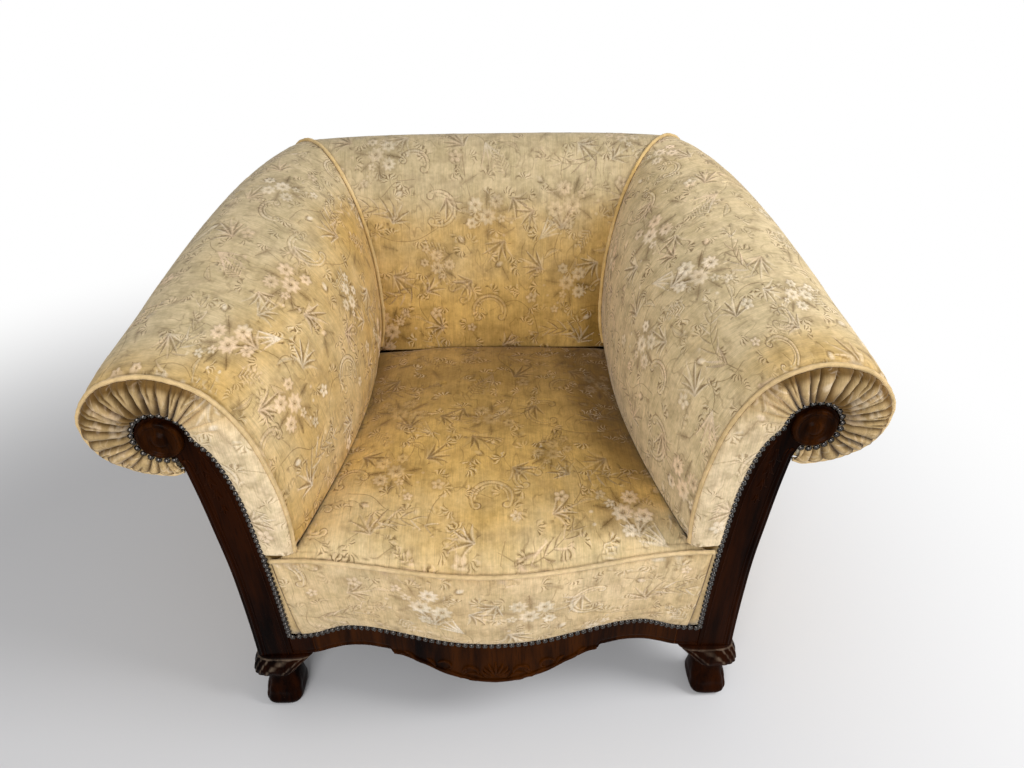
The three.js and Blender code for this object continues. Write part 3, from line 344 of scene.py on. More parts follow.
def wood(name, deep, warm, rough, scale, specular):
    t = Tree(name)
    place = t.place()
    grain = t.noise(place, 55 * scale, 5, .62, (1, 1, .09))
    pore = t.noise(place, 420 * scale, 2, .6, (1, 1, .05))
    broad = t.noise(place, 9, 3, .5, (1, 1, .35))
    colour = t.mix(t.ramp(t.math("ADD", t.times(grain, .6), t.times(broad, .5)), .38, .72), deep, warm)
    colour = t.mix(t.times(t.ramp(pore, .52, .68), .45), colour, scaled(deep, .4))
    colour = t.mix(t.ramp(t.pointiness(), .52, .62, 0, .35), colour, scaled(warm, 3.2))
    # Pale streaks where the paw feet carry them, on the flute crests and the lip: painted highlights.
    colour = t.mix(t.times(t.attribute("worn"), t.ramp(grain, .4, .6, .3, .9)), colour, rgb(140, 122, 104))
    return t.finish(Base_Color=colour, Roughness=t.ramp(broad, .3, .7, rough - .06, rough + .1),
                    Normal=t.bump(pore, .12, .0004), Specular_IOR_Level=specular)


def plain_weave(name, colour, second, scale):
    t = Tree(name)
    place = t.place()
    warp, weft = t.noise(place, scale, 2, .5, (1, .08, .08)), t.noise(place, scale, 2, .5, (.08, 1, 1))
    crossing = t.math("ADD", t.times(warp, .5), t.times(weft, .5))
    tint = t.mix(t.ramp(crossing, .4, .6), colour, second)
    tint = t.mix(t.ramp(t.noise(place, 12, 3, .5), .35, .7, 0, .35), tint, second)
    return t.finish(Base_Color=tint, Roughness=.95, Specular_IOR_Level=.1, Sheen_Weight=.1,
                    Normal=t.bump(crossing, .5, .0008))


def metal(name, deep, bright, rough, coat=0.0):
    t = Tree(name)
    spot = t.noise(t.place(), 260, 3, .6)
    colour = t.mix(t.ramp(spot, .35, .7), deep, bright)
    colour = t.mix(t.times(t.ramp(t.pointiness(), .5, .58), .5), colour, bright)
    return t.finish(Base_Color=colour, Metallic=.85, Roughness=t.ramp(spot, .3, .7, rough, rough + .2),
                    Normal=t.bump(spot, .15, .0004), Coat_Weight=coat, Coat_Roughness=.05, Coat_IOR=1.45)


LOOK = {
    "moquette": moquette("moquette_gold", rgb(126, 96, 42), rgb(194, 157, 90), rgb(206, 185, 144),
                         rgb(236, 220, 194), rgb(88, 61, 25)),
    "moquette_faded": moquette("moquette_cream", rgb(92, 70, 36), rgb(197, 169, 123), rgb(218, 197, 161),
                               rgb(242, 231, 212), rgb(112, 84, 48), .7, .8),
    "mahogany": wood("mahogany_dark", rgb(11, 5, 2), rgb(42, 21, 8), .3, 1, .02),
    "mahogany_rail": wood("mahogany_rail", rgb(14, 6, 2), rgb(58, 31, 9), .32, 1, .02),
    "beech": wood("beech_sawn", rgb(176, 138, 92), rgb(204, 172, 126), .7, .6, .2),
    "stuffing": plain_weave("calico_over_fibre", rgb(224, 215, 192), rgb(200, 188, 160), 700),
    "hessian": plain_weave("hessian_jute", rgb(166, 136, 90), rgb(118, 92, 56), 420),
    "black_cotton": plain_weave("black_cotton", rgb(34, 33, 32), rgb(20, 19, 18), 900),
    "spring_steel": metal("spring_steel", rgb(92, 88, 82), rgb(150, 148, 142), .3),
    "antique_bronze": metal("antique_bronze", rgb(5, 4, 3), rgb(46, 36, 25), .1, 1.0),
}


# Meshes


@contextmanager
def editing(mesh):
    work = bmesh.new()
    work.from_mesh(mesh)
    yield work
    work.to_mesh(mesh)
    work.free()


def settle(name, mesh, look, nodes=(), matrix=None):
    """Makes a mesh a piece that rides on the frame and stands for the CAD nodes."""
    mesh.materials.clear()
    mesh.materials.append(LOOK[look])
    piece = bpy.data.objects.new(name, mesh)
    bpy.context.scene.collection.objects.link(piece)
    if matrix is not None:
        piece.matrix_world = matrix
    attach(piece, "root")
    if nodes:
        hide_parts(*nodes)
    return piece


def make(name, points, faces, look, nodes=(), slot=None, side=1, uv=None, **attributes):
    """A closed piece from points in millimetres; side -1 mirrors it to the left."""
    if look.startswith("moquette"):
        attributes.setdefault("figured", np.zeros(len(points)))
    mesh = bpy.data.meshes.new(name)
    places = np.array(points, float) * MM
    places[:, 0] *= side
    places[:, 1] += FRONT_Y
    mesh.from_pydata(places.tolist(), [], [tuple(map(int, face[::side])) for face in outward(points, faces)])
    for key, values in attributes.items():
        layer = mesh.attributes.new(key, "FLOAT", "POINT")
        layer.data.foreach_set("value", np.asarray(values, np.float32))
    if uv is not None:
        layer = mesh.uv_layers.new(name="weave")
        index = np.empty(len(mesh.loops), int)
        mesh.loops.foreach_get("vertex_index", index)
        layer.data.foreach_set("uv", (np.asarray(uv, np.float32) * MM)[index].ravel())
    mesh.validate()
    mesh.polygons.foreach_set("use_smooth", [True] * len(mesh.polygons))
    return settle(name, mesh, look, nodes)


def grid_faces(rows, columns, start=0, wrap=False):
    faces = []
    for i in range(rows - 1):
        for j in range(columns if wrap else columns - 1):
            k = (j + 1) % columns
            a, b = start + i * columns, start + (i + 1) * columns
            faces.append((a + j, b + j, b + k, a + k))
    return faces


def shell(outer, inner):
    """A closed slab between two grids of the same shape (rows, columns, 3)."""
    rows, columns = outer.shape[:2]
    size = rows * columns
    faces = grid_faces(rows, columns)
    faces += [tuple(reversed(f)) for f in grid_faces(rows, columns, size)]
    rim = [i * columns for i in range(rows)] + [(rows - 1) * columns + j for j in range(1, columns)]
    rim += [i * columns + columns - 1 for i in range(rows - 2, -1, -1)] + list(range(columns - 2, 0, -1))
    for a, b in zip(rim, rim[1:] + rim[:1]):
        faces.append((b, a, a + size, b + size))
    return np.concatenate([outer.reshape(-1, 3), inner.reshape(-1, 3)]), faces


def moved_back(grid, y):
    """A copy of a grid of points with all its y at one value."""
    back = grid.copy()
    back[..., 1] = y
    return back


def outward(points, faces):
    """Faces turned so that the closed mesh has a positive volume."""
    p = np.asarray(points)
    fans = np.array([(f[0], f[k], f[k + 1]) for f in faces for k in range(1, len(f) - 1)], int)
    total = np.einsum("ij,ij->i", p[fans[:, 0]], np.cross(p[fans[:, 1]], p[fans[:, 2]])).sum()
    return faces if total > 0 else [tuple(reversed(f)) for f in faces]


def tube(path, radius, sides):
    """A round tube along a path, with a radius at each point, closed at both ends."""
    tangent = unit(np.gradient(path, axis=0))
    normal = unit(np.cross(tangent[0], [.3, .2, .93]))
    angles = np.linspace(0, TURN, sides, endpoint=False)
    rings = []
    for k, (point, way) in enumerate(zip(path, tangent)):
        normal = unit(normal - way * np.dot(normal, way))
        other = np.cross(way, normal)
        rings.append(point + radius[k] * (np.cos(angles)[:, None] * normal + np.sin(angles)[:, None] * other))
    points = np.concatenate(rings)
    faces = grid_faces(len(path), sides, 0, True)
    faces.append(tuple(range(sides)))
    faces.append(tuple(reversed(range(len(points) - sides, len(points)))))
    return points, faces


# Woven figure: generic flowers, sprays and scrolls, laid out on a repeat in millimetres.
# A stroke is (points, half widths, value) and a petal (x, y, long, short, angle, value); positive
# values are pale threads and negative ones dark.

MOTIF_REACH, SAMPLE_STEP = 12, 4.0  # margin round a group, and step between samples of a stroke


def polar(x, y, radius, angle):
    return x + radius * math.cos(angle), y + radius * math.sin(angle)


def turned(x, y, angle, along, across):
    """Points at distances along and across a direction from x, y."""
    c, s = math.cos(angle), math.sin(angle)
    return np.stack([x + along * c - across * s, y + along * s + across * c], 1)


def arc(x, y, radius, start, end, steps=14, grow=0.0):
    angles = np.radians(np.linspace(start, end, steps))
    r = radius * (1 + grow * np.linspace(0, 1, steps))
    return np.stack([x + r * np.cos(angles), y + r * np.sin(angles)], 1)


def taper(steps, width, head=.25, tail=.25):
    t = np.linspace(0, 1, steps)
    return width * np.minimum(1, np.minimum((t + .05) / head, (1.05 - t) / tail))


def stroke(points, width, value, head=.3, tail=.4):
    return ("stroke", np.asarray(points, float), taper(len(points), width, head, tail), value)


def petal(x, y, long, short, angle, value):
    return ("petal", x, y, long, short, angle, value)


def flower(x, y, r, turn=0.0, petals=5):
    """A small open flower: pale petals with dark rims on a soft dark ground."""
    slim = .37 * min(1, 6 / petals)
    parts = [petal(x, y, 1.45 * r, 1.3 * r, turn, -.45)]
    spots = [turn + 2 * math.pi * k / petals for k in range(petals)]
    for grow, value in ((1.28, -.85), (1.0, .95)):
        parts += [petal(*polar(x, y, .58 * r, a), .48 * grow * r, slim * grow * r, a, value) for a in spots]
    parts += [stroke([polar(x, y, q * r, a) for q in (.25, .4, .56)], .05 * r, -.6) for a in spots]
    return parts + [petal(x, y, .24 * r, .22 * r, turn, -1.0),
                    petal(x + .05 * r, y + .05 * r, .09 * r, .08 * r, turn, .8)]


def blade(x, y, length, angle, bend, wide, value):
    """A slim pointed leaflet: a soft filled blade with a light edge."""
    t = np.linspace(0, 1, 8)
    curl = bend * length * t**2
    half = wide * np.sin(np.pi * np.clip(.9 * t + .08, 0, 1)) ** .8
    return [("stroke", turned(x, y, angle, length * t, curl), half + .5, value),
            ("stroke", turned(x, y, angle, length * t, curl + (half + 1.0)), .6 + .4 * half, -.85 * value)]


def palm(x, y, length, angle, count=7):
    """A fan of slim curved leaflets that spring from a short stem, some light and some dark."""
    degrees = math.degrees(angle)
    parts = [stroke(arc(*polar(x, y, -.3 * length, angle), .3 * length, degrees - 50, degrees), 1.0, -.9)]
    for k in range(count):
        q = k / (count - 1) - .5
        size = length * (1 - .7 * abs(q) ** 1.4) * (.86 + .14 * math.sin(5 * k))
        foot = polar(x, y, -.12 * length * abs(q), angle)
        parts += blade(*foot, size, angle + 1.5 * q, .75 * q, .06 * length, -.9 if k % 3 else .54)
    return parts


def stem(*points):
    return [stroke(catmull(points, np.linspace(0, 1, 22)), 1.0, -.75, .05, .1)]


def shade_leaf(x, y, length, width, angle, value=-.5):
    """A filled leaf in the darker thread, with a rib."""
    middle = polar(x, y, .5 * length, angle)
    return [petal(*middle, .55 * length, width, angle, value),
            stroke([(x, y), middle, polar(x, y, length, angle)], .06 * length, value - .3)]


def leaf(x, y, length, width, angle):
    """An outlined leaf with a vein on a pale ground."""
    t = np.linspace(0, 1, 9)
    bend = .15 * length * np.sin(np.pi * t)
    half = width * np.sin(np.pi * np.clip(t, .02, .98)) ** .8
    spine = turned(x, y, angle, t * length, bend)
    edges = [stroke(turned(x, y, angle, t * length, across + bend), .9, -.8) for across in (half, -half)]
    return edges + [stroke(turned(x, y, angle, t * length * .9, bend), .8, -.64),
                    ("stroke", spine, np.maximum(.6, half * .7), .3)]


def spray(points, pairs, length):
    """A curved stem with slim leaflets along both sides."""
    points = catmull(points, np.linspace(0, 1, 16))
    parts = [stroke(points, 1.1, -.765, .1, .3)]
    t = np.linspace(0, 1, 7)
    for k in range(pairs):
        q = int(3 + k * 11 / max(1, pairs - 1))
        way = math.atan2(*(points[min(15, q + 1)] - points[q - 1])[::-1])
        size = length * (1 - .5 * k / pairs)
        for hand in (1, -1):
            line = turned(*points[q], way + hand * .8, size * t, hand * -.22 * size * t**2)
            dark = (k + hand) % 3
            parts.append(stroke(line, .085 * size, -.85 if dark else .8))
            parts.append(stroke(line + [.9, -1.6], .05 * size, .5 if dark else -.6))
    end = points[-1]
    way = math.atan2(*(points[-1] - points[-2])[::-1])
    return parts + [stroke([end, end + length * .6 * np.array([math.cos(way), math.sin(way)])], 1.8, -.85)]


def scroll(x, y, radius, start, end, hand=1):
    """A C scroll: a light band between dark lines, hatched inside and curled at both ends."""
    parts = []
    for inset, shorter, steps, width, value in (
            (3.5, (0, 0), 20, 3.2, .6), (-.6, (0, 0), 20, 1.2, -.95), (6.5, (10, 12), 18, 1.2, -.85),
            (10, (22, 26), 16, 1.1, .7), (12.5, (26, 30), 16, .9, -.6)):
        line = arc(x, y, radius - inset, start + hand * shorter[0], end - hand * shorter[1], steps)
        parts.append(stroke(line, width, value))
    for a, turn in ((start, -1), (end, 1)):
        centre = polar(x, y, radius - 9, math.radians(a))
        parts.append(stroke(arc(*centre, 9, a, a + turn * hand * 260, 14, -.45), 1.7, -.9, .1, .3))
        parts.append(stroke(arc(*centre, 6, a, a + turn * hand * 200, 10, -.4), 1.3, .7, .1, .3))
    for k in range(9):
        c = math.radians(lerp(start, end, .2 + .075 * k))
        inner, outer = np.array(polar(x, y, radius - 6, c)), np.array(polar(x, y, radius - 1, c + .06))
        parts.append(stroke([inner, (inner + outer) / 2, outer], .8, -.6))
    return parts


def tulip(x, y, length, angle):
    parts = []
    t = np.linspace(0, 1, 8)
    for spread in (-.3, -.1, .12, .32):
        line = turned(x, y, angle + spread, length * t, spread * length * .5 * t**2)
        parts.append(("stroke", line, 3.0 * np.sin(np.pi * np.clip(t * .9 + .08, 0, 1)), 1.0))
        parts.append(stroke(line + [1.6, 1.2], .8, -.75))
    back = [(x, y), polar(x, y, -length * .4, angle - .2), polar(x, y, -length * .9, angle - .5)]
    return parts + [stroke(catmull(back, np.linspace(0, 1, 10)), 1.0, -.85)]


def cluster(x, y, r, turn):
    """A bunch of five flowers on a soft ground, with leaves and loose buds round it."""
    parts = [petal(*polar(x, y, .5 * r, turn), 3.3 * r, 2.6 * r, turn, -.3)]
    for a, size in ((2.4, 2.1), (3.3, 1.7), (-.7, 1.9), (1.15, 2.2), (.35, 1.8), (4.3, 1.6)):
        a += turn
        parts += shade_leaf(*polar(x, y, .9 * r, a), size * r, .42 * r, a + .2, -.7)
    c, s = math.cos(turn), math.sin(turn)
    for k, (dx, dy, q, petals) in enumerate(
            ((0, 0, 1, 8), (1.6, .8, .9, 7), (-.45, 1.8, .85, 9), (1.45, -1.2, .66, 6), (-1.5, .2, .5, 5))):
        parts += flower(x + r * (dx * c - dy * s), y + r * (dx * s + dy * c), r * q, turn + k * .9, petals)
    for a in (turn + 2.75, turn - .25):
        parts += leaf(*polar(x, y, 1.5 * r, a), 1.9 * r, .36 * r, a + .25)
    return parts + [petal(*polar(x, y, 2.7 * r, a), .22 * r, .2 * r, a, .85)
                    for a in (turn + 3.1, turn + 4.2, turn + 3.7)]


def fern(x, y, length, angle, count=8):
    """A hatched frond: short strokes that fan out from a stem, light beside dark."""
    c, s = math.cos(angle), math.sin(angle)
    middle = (x + .5 * length * c - 2 * s, y + .5 * length * s + 2 * c)
    parts = [stroke([(x, y), middle, polar(x, y, length, angle)], 1.0, -.8)]
    t = np.linspace(0, 1, 5)
    for k in range(count):
        q = (k + 1) / (count + 1)
        px, py = x + q * length * c, y + q * length * s
        for hand in (1, -1):
            size = length * .42 * (1 - .55 * q) * (.75 + .25 * math.sin(3 * k))
            a = angle + hand * (.95 - .35 * q)
            line = np.stack([px + size * t * math.cos(a), py + size * t * math.sin(a) + hand * 2 * t**2], 1)
            parts.append(stroke(line, 1.25, -.8))
            parts.append(stroke(line + [1.6, -1.5], .95, .75))
    return parts


def bud(x, y, length, angle):
    parts = [petal(*polar(x, y, .6 * length, angle), .42 * length, .26 * length, angle, .9)]
    parts += shade_leaf(x, y, .75 * length, .2 * length, angle + .5, -.6)
    parts += shade_leaf(x, y, .7 * length, .18 * length, angle - .55, -.6)
    px, py = polar(x, y, -.4 * length, angle)
    return parts + [stroke([(x, y), (px, py + 2), polar(x, y, -.9 * length, angle)], .9, -.8)]


TILE = (372, 516)
MOTIFS = (
    scroll(168, 100, 36, 60, 300), scroll(212, 186, 30, 210, 20, -1), cluster(72, 84, 18, .3),
    cluster(286, 206, 17, 2.0), tulip(74, 232, 54, -1.9), cluster(278, 362, 19, -.7),
    spray([(228, 66), (266, 96), (310, 106), (350, 94)], 6, 34), fern(34, 160, 62, 1.2),
    flower(132, 200, 14, .4), spray([(82, 314), (122, 300), (166, 314), (202, 346)], 7, 36),
    scroll(72, 408, 36, -30, 210), scroll(132, 448, 26, 30, 250, 1), flower(182, 404, 13, 0),
    spray([(214, 482), (244, 446), (288, 440), (338, 460)], 6, 32), tulip(342, 296, 44, 2.4),
    fern(336, 20, 56, 2.4, 7), flower(24, 300, 14, .8), fern(150, 12, 50, .4, 6),
    cluster(176, 500, 14, 1.1), leaf(236, 274, 40, 6.5, 2.9), flower(358, 176, 12, .2),
    bud(118, 30, 22, 1.0), bud(232, 134, 20, -.4), bud(150, 262, 22, 2.2), bud(332, 404, 20, .7),
    shade_leaf(20, 60, 34, 7, -.5), shade_leaf(252, 20, 36, 7, .3), shade_leaf(120, 146, 34, 7, 2.6),
    shade_leaf(196, 262, 36, 7, .9), shade_leaf(30, 470, 38, 8, 1.1), shade_leaf(340, 490, 34, 7, 2.0),
    leaf(206, 386, 34, 6, .2), leaf(10, 210, 36, 6, .6), leaf(300, 274, 36, 6, -.5),
    flower(110, 372, 10, .5), flower(246, 404, 9, .1), flower(196, 22, 9, .9), flower(310, 150, 9, .3),
    fern(26, 360, 46, 4.4, 6), fern(238, 318, 44, 5.3, 6), bud(60, 500, 20, 2.6),
    palm(40, 34, 52, -.9), palm(150, 118, 46, -2.2, 6), palm(258, 76, 44, 1.9, 6), palm(338, 236, 50, .5),
    palm(118, 224, 54, .7, 8), palm(226, 246, 48, -.5), palm(300, 318, 50, 1.7), palm(44, 330, 46, 2.8, 6),
    palm(170, 370, 44, .2, 6), palm(108, 470, 46, -.7, 6), palm(262, 484, 52, -2.6),
    palm(354, 350, 42, -.6, 6), palm(20, 118, 44, -2.4, 6), palm(198, 452, 42, 2.3, 6),
    stem((72, 84), (104, 118), (118, 224), (86, 290), (92, 330)),
    stem((286, 206), (312, 262), (298, 320), (278, 362), (300, 420), (286, 470)),
    stem((72, 408), (20, 430), (-16, 400), (-30, 350)), stem((176, 500), (206, 470), (216, 420), (196, 380)),
    stem((168, 64), (214, 40), (262, 40), (300, 60)), stem((212, 156), (250, 150), (284, 120), (330, 130)))


def moved(part, dx, dy):
    if part[0] == "stroke":
        return ("stroke", part[1] + [dx, dy], part[2], part[3])
    return ("petal", part[1] + dx, part[2] + dy) + part[3:]


def figure_parts(width, height, shift):
    """Groups of the repeat that touch a panel, each with the corners of its box."""
    groups = []
    for column in range(-1, int(width / TILE[0]) + 2):
        for row in range(-2, int(height / TILE[1]) + 2):
            dx = column * TILE[0] - shift[0]
            dy = row * TILE[1] + (column % 2) * TILE[1] / 2 - shift[1]
            for group in MOTIFS:
                parts = [moved(part, dx, dy) for part in group]
                spots = np.concatenate(
                    [p[1] if p[0] == "stroke" else np.array([[p[1], p[2]]]) for p in parts])
                low, high = spots.min(0) - MOTIF_REACH, spots.max(0) + MOTIF_REACH
                if high[0] >= 0 and high[1] >= 0 and low[0] <= width and low[1] <= height:
                    groups.append((low, high, parts))
    return groups


def part_samples(part):
    """Mesh points that carry a part: its middle line and its edges."""
    if part[0] == "stroke":
        _, line, half, _ = part
        length = np.linalg.norm(np.diff(line, axis=0), axis=1).sum()
        share = np.linspace(0, 1, max(3, int(length / SAMPLE_STEP) + 1))
        old = np.linspace(0, 1, len(line))
        mid = np.stack([np.interp(share, old, line[:, 0]), np.interp(share, old, line[:, 1])], 1)
        way = unit(np.gradient(mid, axis=0))
        side = np.stack([-way[:, 1], way[:, 0]], 1) * (np.interp(share, old, half)[:, None] + .25)
        return np.concatenate([mid, mid + side, mid - side])
    _, x, y, a, b, turn, _ = part
    angles = np.linspace(0, TURN, 10, endpoint=False)
    ring = np.stack([a * np.cos(angles), b * np.sin(angles)], 1)
    c, s = math.cos(turn), math.sin(turn)
    spin = np.array([[c, s], [-s, c]])
    return np.concatenate([[[x, y]], [x, y] + .62 * ring[::2] @ spin, [x, y] + 1.04 * ring @ spin])


def stroke_level(p, line, half):
    """1 on the middle of a stroke, 0 at its edges, at points p."""
    a, b = line[:-1][None], line[1:][None]
    ab = b - a
    t = np.clip(((p[:, None] - a) * ab).sum(-1) / np.maximum((ab**2).sum(-1), 1e-9), 0, 1)
    gap = np.linalg.norm(p[:, None] - a - t[..., None] * ab, axis=-1)
    width = half[:-1][None] * (1 - t) + half[1:][None] * t
    rows, nearest = np.arange(len(p)), np.argmin(gap - width, axis=1)
    return 1 - gap[rows, nearest] / np.maximum(width[rows, nearest], .3)


def figure_at(points, groups):
    """Pale and dark strength of the figure at points, each from 0 to 1."""
    pale, dark = np.zeros(len(points)), np.zeros(len(points))
    for low, high, parts in groups:
        near = np.nonzero(((points >= low) & (points <= high)).all(1))[0]
        if not len(near):
            continue
        p = points[near]
        for kind, *shape, value in parts:
            if kind == "stroke":
                level = stroke_level(p, *shape)
            else:
                x, y, u, v, turn = shape
                c, s = math.cos(turn), math.sin(turn)
                q = (p - [x, y]) @ np.array([[c, -s], [s, c]])
                level = (1 - np.sqrt((q[:, 0] / u) ** 2 + (q[:, 1] / v) ** 2)) * 1.3
            strength = np.clip(level * 1.6, 0, 1) * abs(value)
            target = pale if value > 0 else dark
            target[near] = np.maximum(target[near], strength)
            if value > 0 and kind == "petal":
                dark[near] *= 1 - np.clip(strength, 0, 1)
    return pale, dark


def triangulated(points, rim):
    """Delaunay triangles over flat points, and the places that the first points, the rim, get in them."""
    result = geometry.delaunay_2d_cdt([Vector(p) for p in points], [], [], 0, 1e-4)
    order = [None] * rim
    for new, olds in enumerate(result[3]):
        for old in olds:
            if old < rim:
                order[old] = new
    return np.array([tuple(v) for v in result[0]]), [tuple(f) for f in result[2]], order


FINE_CELL, CLEAR_CELL = .9, 5
CLOTH_GRID, UNDER_GRID = 9.0, 18
ROLL_REACH = 1.6  # how far a rolled edge reaches in, in rolls
PALE_RISE, DARK_SINK = .5, .4


def thinned(samples, grid):
    """One figure point to a fine cell, and the grid points that lie clear of them."""
    cell = {}
    for k, key in enumerate(map(tuple, np.round(samples / FINE_CELL).astype(int))):
        cell.setdefault(key, k)
    extra = samples[sorted(cell.values())]
    taken = {tuple(k) for k in np.round(extra / CLEAR_CELL).astype(int)}
    free = [key not in taken for key in map(tuple, np.round(grid / CLEAR_CELL).astype(int))]
    return extra, grid[np.array(free)]


def cloth(name, node, place, size, width_at, shift, fade, look="moquette", side=1, roll=4.0,
          thick=2.0, figure=True, centred=False, rows=(), pale_at=None, dust=None):
    """A cover. place(n, a, depth) maps a rectangle of size (across, along) to space, and width_at(a)
    is the true width there, so that the figure keeps its shape. Its edges roll in towards the pad."""
    across, along = size

    def to_true(q):
        w = width_at(q[:, 1])
        x = (q[:, 0] / across - .5) * w + across / 2 if centred else q[:, 0] / across * w
        return np.stack([x, q[:, 1]], 1)

    def to_flat(q):
        w = width_at(q[:, 1])
        x = ((q[:, 0] - across / 2) / w + .5) * across if centred else q[:, 0] / w * across
        return np.stack([x, q[:, 1]], 1)

    xs, ys = (np.linspace(0, length, max(2, int(length / CLOTH_GRID)) + 1) for length in size)
    rim = ([(x, 0) for x in xs[:-1]] + [(across, y) for y in ys[:-1]]
           + [(x, along) for x in xs[:0:-1]] + [(0, y) for y in ys[:0:-1]])
    edge_rows = [.35 * roll, .8 * roll, ROLL_REACH * roll]
    gx, gy = np.meshgrid(np.concatenate([edge_rows, xs[2:-2], across - np.array(edge_rows)]),
                         np.concatenate([edge_rows, ys[2:-2], rows, along - np.array(edge_rows)]))
    grid, extra = np.stack([gx.ravel(), gy.ravel()], 1), np.zeros((0, 2))
    groups = figure_parts(max(across, float(width_at(ys).max())), along, shift) if figure else []
    if groups:
        samples = to_flat(np.concatenate([part_samples(p) for _, _, parts in groups for p in parts]))
        margin = ROLL_REACH * roll + 1
        inside = ((samples > margin) & (samples < np.array([across, along]) - margin)).all(1)
        extra, grid = thinned(samples[inside], grid)
    flat, faces, order = triangulated(np.concatenate([np.array(rim, float), grid, extra]), len(rim))
    pale, dark = figure_at(to_true(flat), groups)
    if pale_at is not None:
        pale = pale * pale_at(flat[:, 1] / along)
    gap = np.min([flat[:, 0], across - flat[:, 0], flat[:, 1], along - flat[:, 1]], axis=0)
    q = np.clip(gap / (ROLL_REACH * roll), 0, 1)
    pile = PALE_RISE * pale - DARK_SINK * dark
    depth = roll * (1 - np.sqrt(1 - (1 - q) ** 2)) - pile * smooth(0, .5, q)
    top = place(flat[:, 0] / across, flat[:, 1] / along, depth)

    cx, cy = np.meshgrid(*(np.linspace(0, length, UNDER_GRID)[1:-1] for length in size))
    coarse = np.stack([cx.ravel(), cy.ravel()], 1)
    low_flat, low_faces, low_order = triangulated(np.concatenate([flat[order], coarse]), len(rim))
    under = place(low_flat[:, 0] / across, low_flat[:, 1] / along, np.full(len(low_flat), thick + roll * .6))
    faces += [tuple(len(flat) + k for k in reversed(f)) for f in low_faces]
    for k in range(len(rim)):
        after = (k + 1) % len(rim)
        faces.append((order[after], order[k], low_order[k] + len(flat), low_order[after] + len(flat)))
    both, none = np.concatenate([flat, low_flat]), np.zeros(len(under))
    made = make(name, np.concatenate([top, under]), faces, look, [node], None, side, to_true(both),
                figure_pale=np.concatenate([pale, none]), figure_dark=np.concatenate([dark, none]),
                fade=fade(both[:, 0] / across, both[:, 1] / along),
                dust=dust(both[:, 1] / along) if dust else np.zeros(len(both)),
                figured=np.full(len(both), 1.0 if figure else 0.0))


# Surface of the covers


def arc_shares(fn, steps=400):
    """Length of a line fn(s) and a function from millimetres along it to s."""
    s = np.linspace(0, 1, steps)
    length = lengths(fn(s))
    return length[-1], lambda a: np.interp(a, length, s)


def offset(fn, s, t, depth):
    """A point of the face moved inward by a depth, on its way to the core."""
    outer = fn(FACE, s, t)
    way = fn(CORE, s, t) - outer
    return outer + way * (np.asarray(depth) / np.linalg.norm(way, axis=-1))[..., None]


SEAM = 1.2
ARM_LONG, arm_s = arc_shares(lambda s: arm_point(FACE, s, .5))
BACK_LONG, back_s = arc_shares(lambda s: back_point(FACE, s, 1.0))


def arm_reach(a):
    s = arm_s(a)
    return np.linalg.norm(catmull(FACE[0], s) - catmull(FACE[1], s), axis=-1)


def back_reach(a):
    s = back_s(a)
    return 2 * np.linalg.norm(catmull(FACE[1], s) - catmull(FACE[2], s), axis=-1)


def arm_place(n, along, depth):
    """The arm swells behind its front edge and puckers there, where it is sewn to the welt."""
    s, reach = arm_s(along * ARM_LONG), arm_reach(along * ARM_LONG)
    gap = n * reach
    swell = 4.5 * smooth(0, 16, gap) * (1 - smooth(30, 170, gap))
    swell = swell * smooth(.28, .5, s) * (1 - smooth(.9, 1, s))
    pucker = 1.1 * np.sin(s * 150 + 2.5 * np.sin(s * 31)) * np.exp(-gap / 14) * smooth(.3, .45, s)
    return offset(arm_point, s, lerp(0, 1 - SEAM / reach, n), depth - swell - pucker * smooth(2, 8, gap))


def back_place(n, along, depth):
    start = 2 * SEAM / back_reach(along * BACK_LONG)
    return offset(back_point, back_s(along * BACK_LONG), lerp(start, 2 - start, n), depth)


def arm_fade_and_shade(inner, roll, turn):
    """Fading of an arm: pale over the roll, sounder on its inner face, yellower at the front edge, and darker
    at its foot where it meets the seat, which is painted shade.
    """
    def fade(n, along):
        low = 1 - smooth(turn, turn + .16, along)
        front = .5 * (1 - smooth(.02, .16, n)) * smooth(.3, .5, along)
        return roll - (roll - inner) * low - .2 * n * low - front - .25 * (1 - smooth(0, .06, along))
    return fade


def back_fade_and_shade(n, along):
    # Paler towards the top. Darker at the foot by the seat and in the right-hand corner beside the arm, which
    # is painted shade.
    corner = (1 - smooth(.02, .17, n)) * (1 - smooth(.22, .42, along))
    return (-.08 + .3 * smooth(.1, .3, along) + .65 * smooth(.34, .52, along)
            - .25 * (1 - smooth(0, .12, along)) - .6 * corner)


# Each arm gets a grey film over its roll and outside, far heavier on the left one: painted shade.
for (side, hand), (inner, roll, turn), across, shade_film in zip(
        SIDES, ((1.15, .95, .24), (.44, .95, .37)), (40, 190), (.02, .17)):
    cloth(f"{hand}_inside_arm_cloth", f"{hand}_inside_arm_cover", arm_place, (640, ARM_LONG), arm_reach,
          (across, 20), arm_fade_and_shade(inner, roll, turn), side=side,
          dust=lambda v: shade_film * smooth(turn, turn + .16, v))
# The back's grey film thickens towards the top: painted shade.
cloth("inside_back_cloth", "inside_back_cover", back_place, (620, BACK_LONG), back_reach, (130, 60),
      back_fade_and_shade, centred=True, pale_at=lambda v: .55 + .25 * smooth(.35, .6, v),
      dust=lambda v: .05 + .14 * smooth(.1, .3, v) + .12 * smooth(.38, .52, v))

# Where the covers meet the seat
TS = np.linspace(0, 1, 200)
ARM_FOOT_LINE, BACK_FOOT_LINE = arm_point(FACE, 0 * TS, TS), back_point(FACE, 0 * TS + .02, TS)[::-1]
SEAT_REAR_HALF, SIDE_EDGE_Y = 240, 2.0


def foot_x(y):
    return np.interp(y, ARM_FOOT_LINE[:, 1], ARM_FOOT_LINE[:, 0])


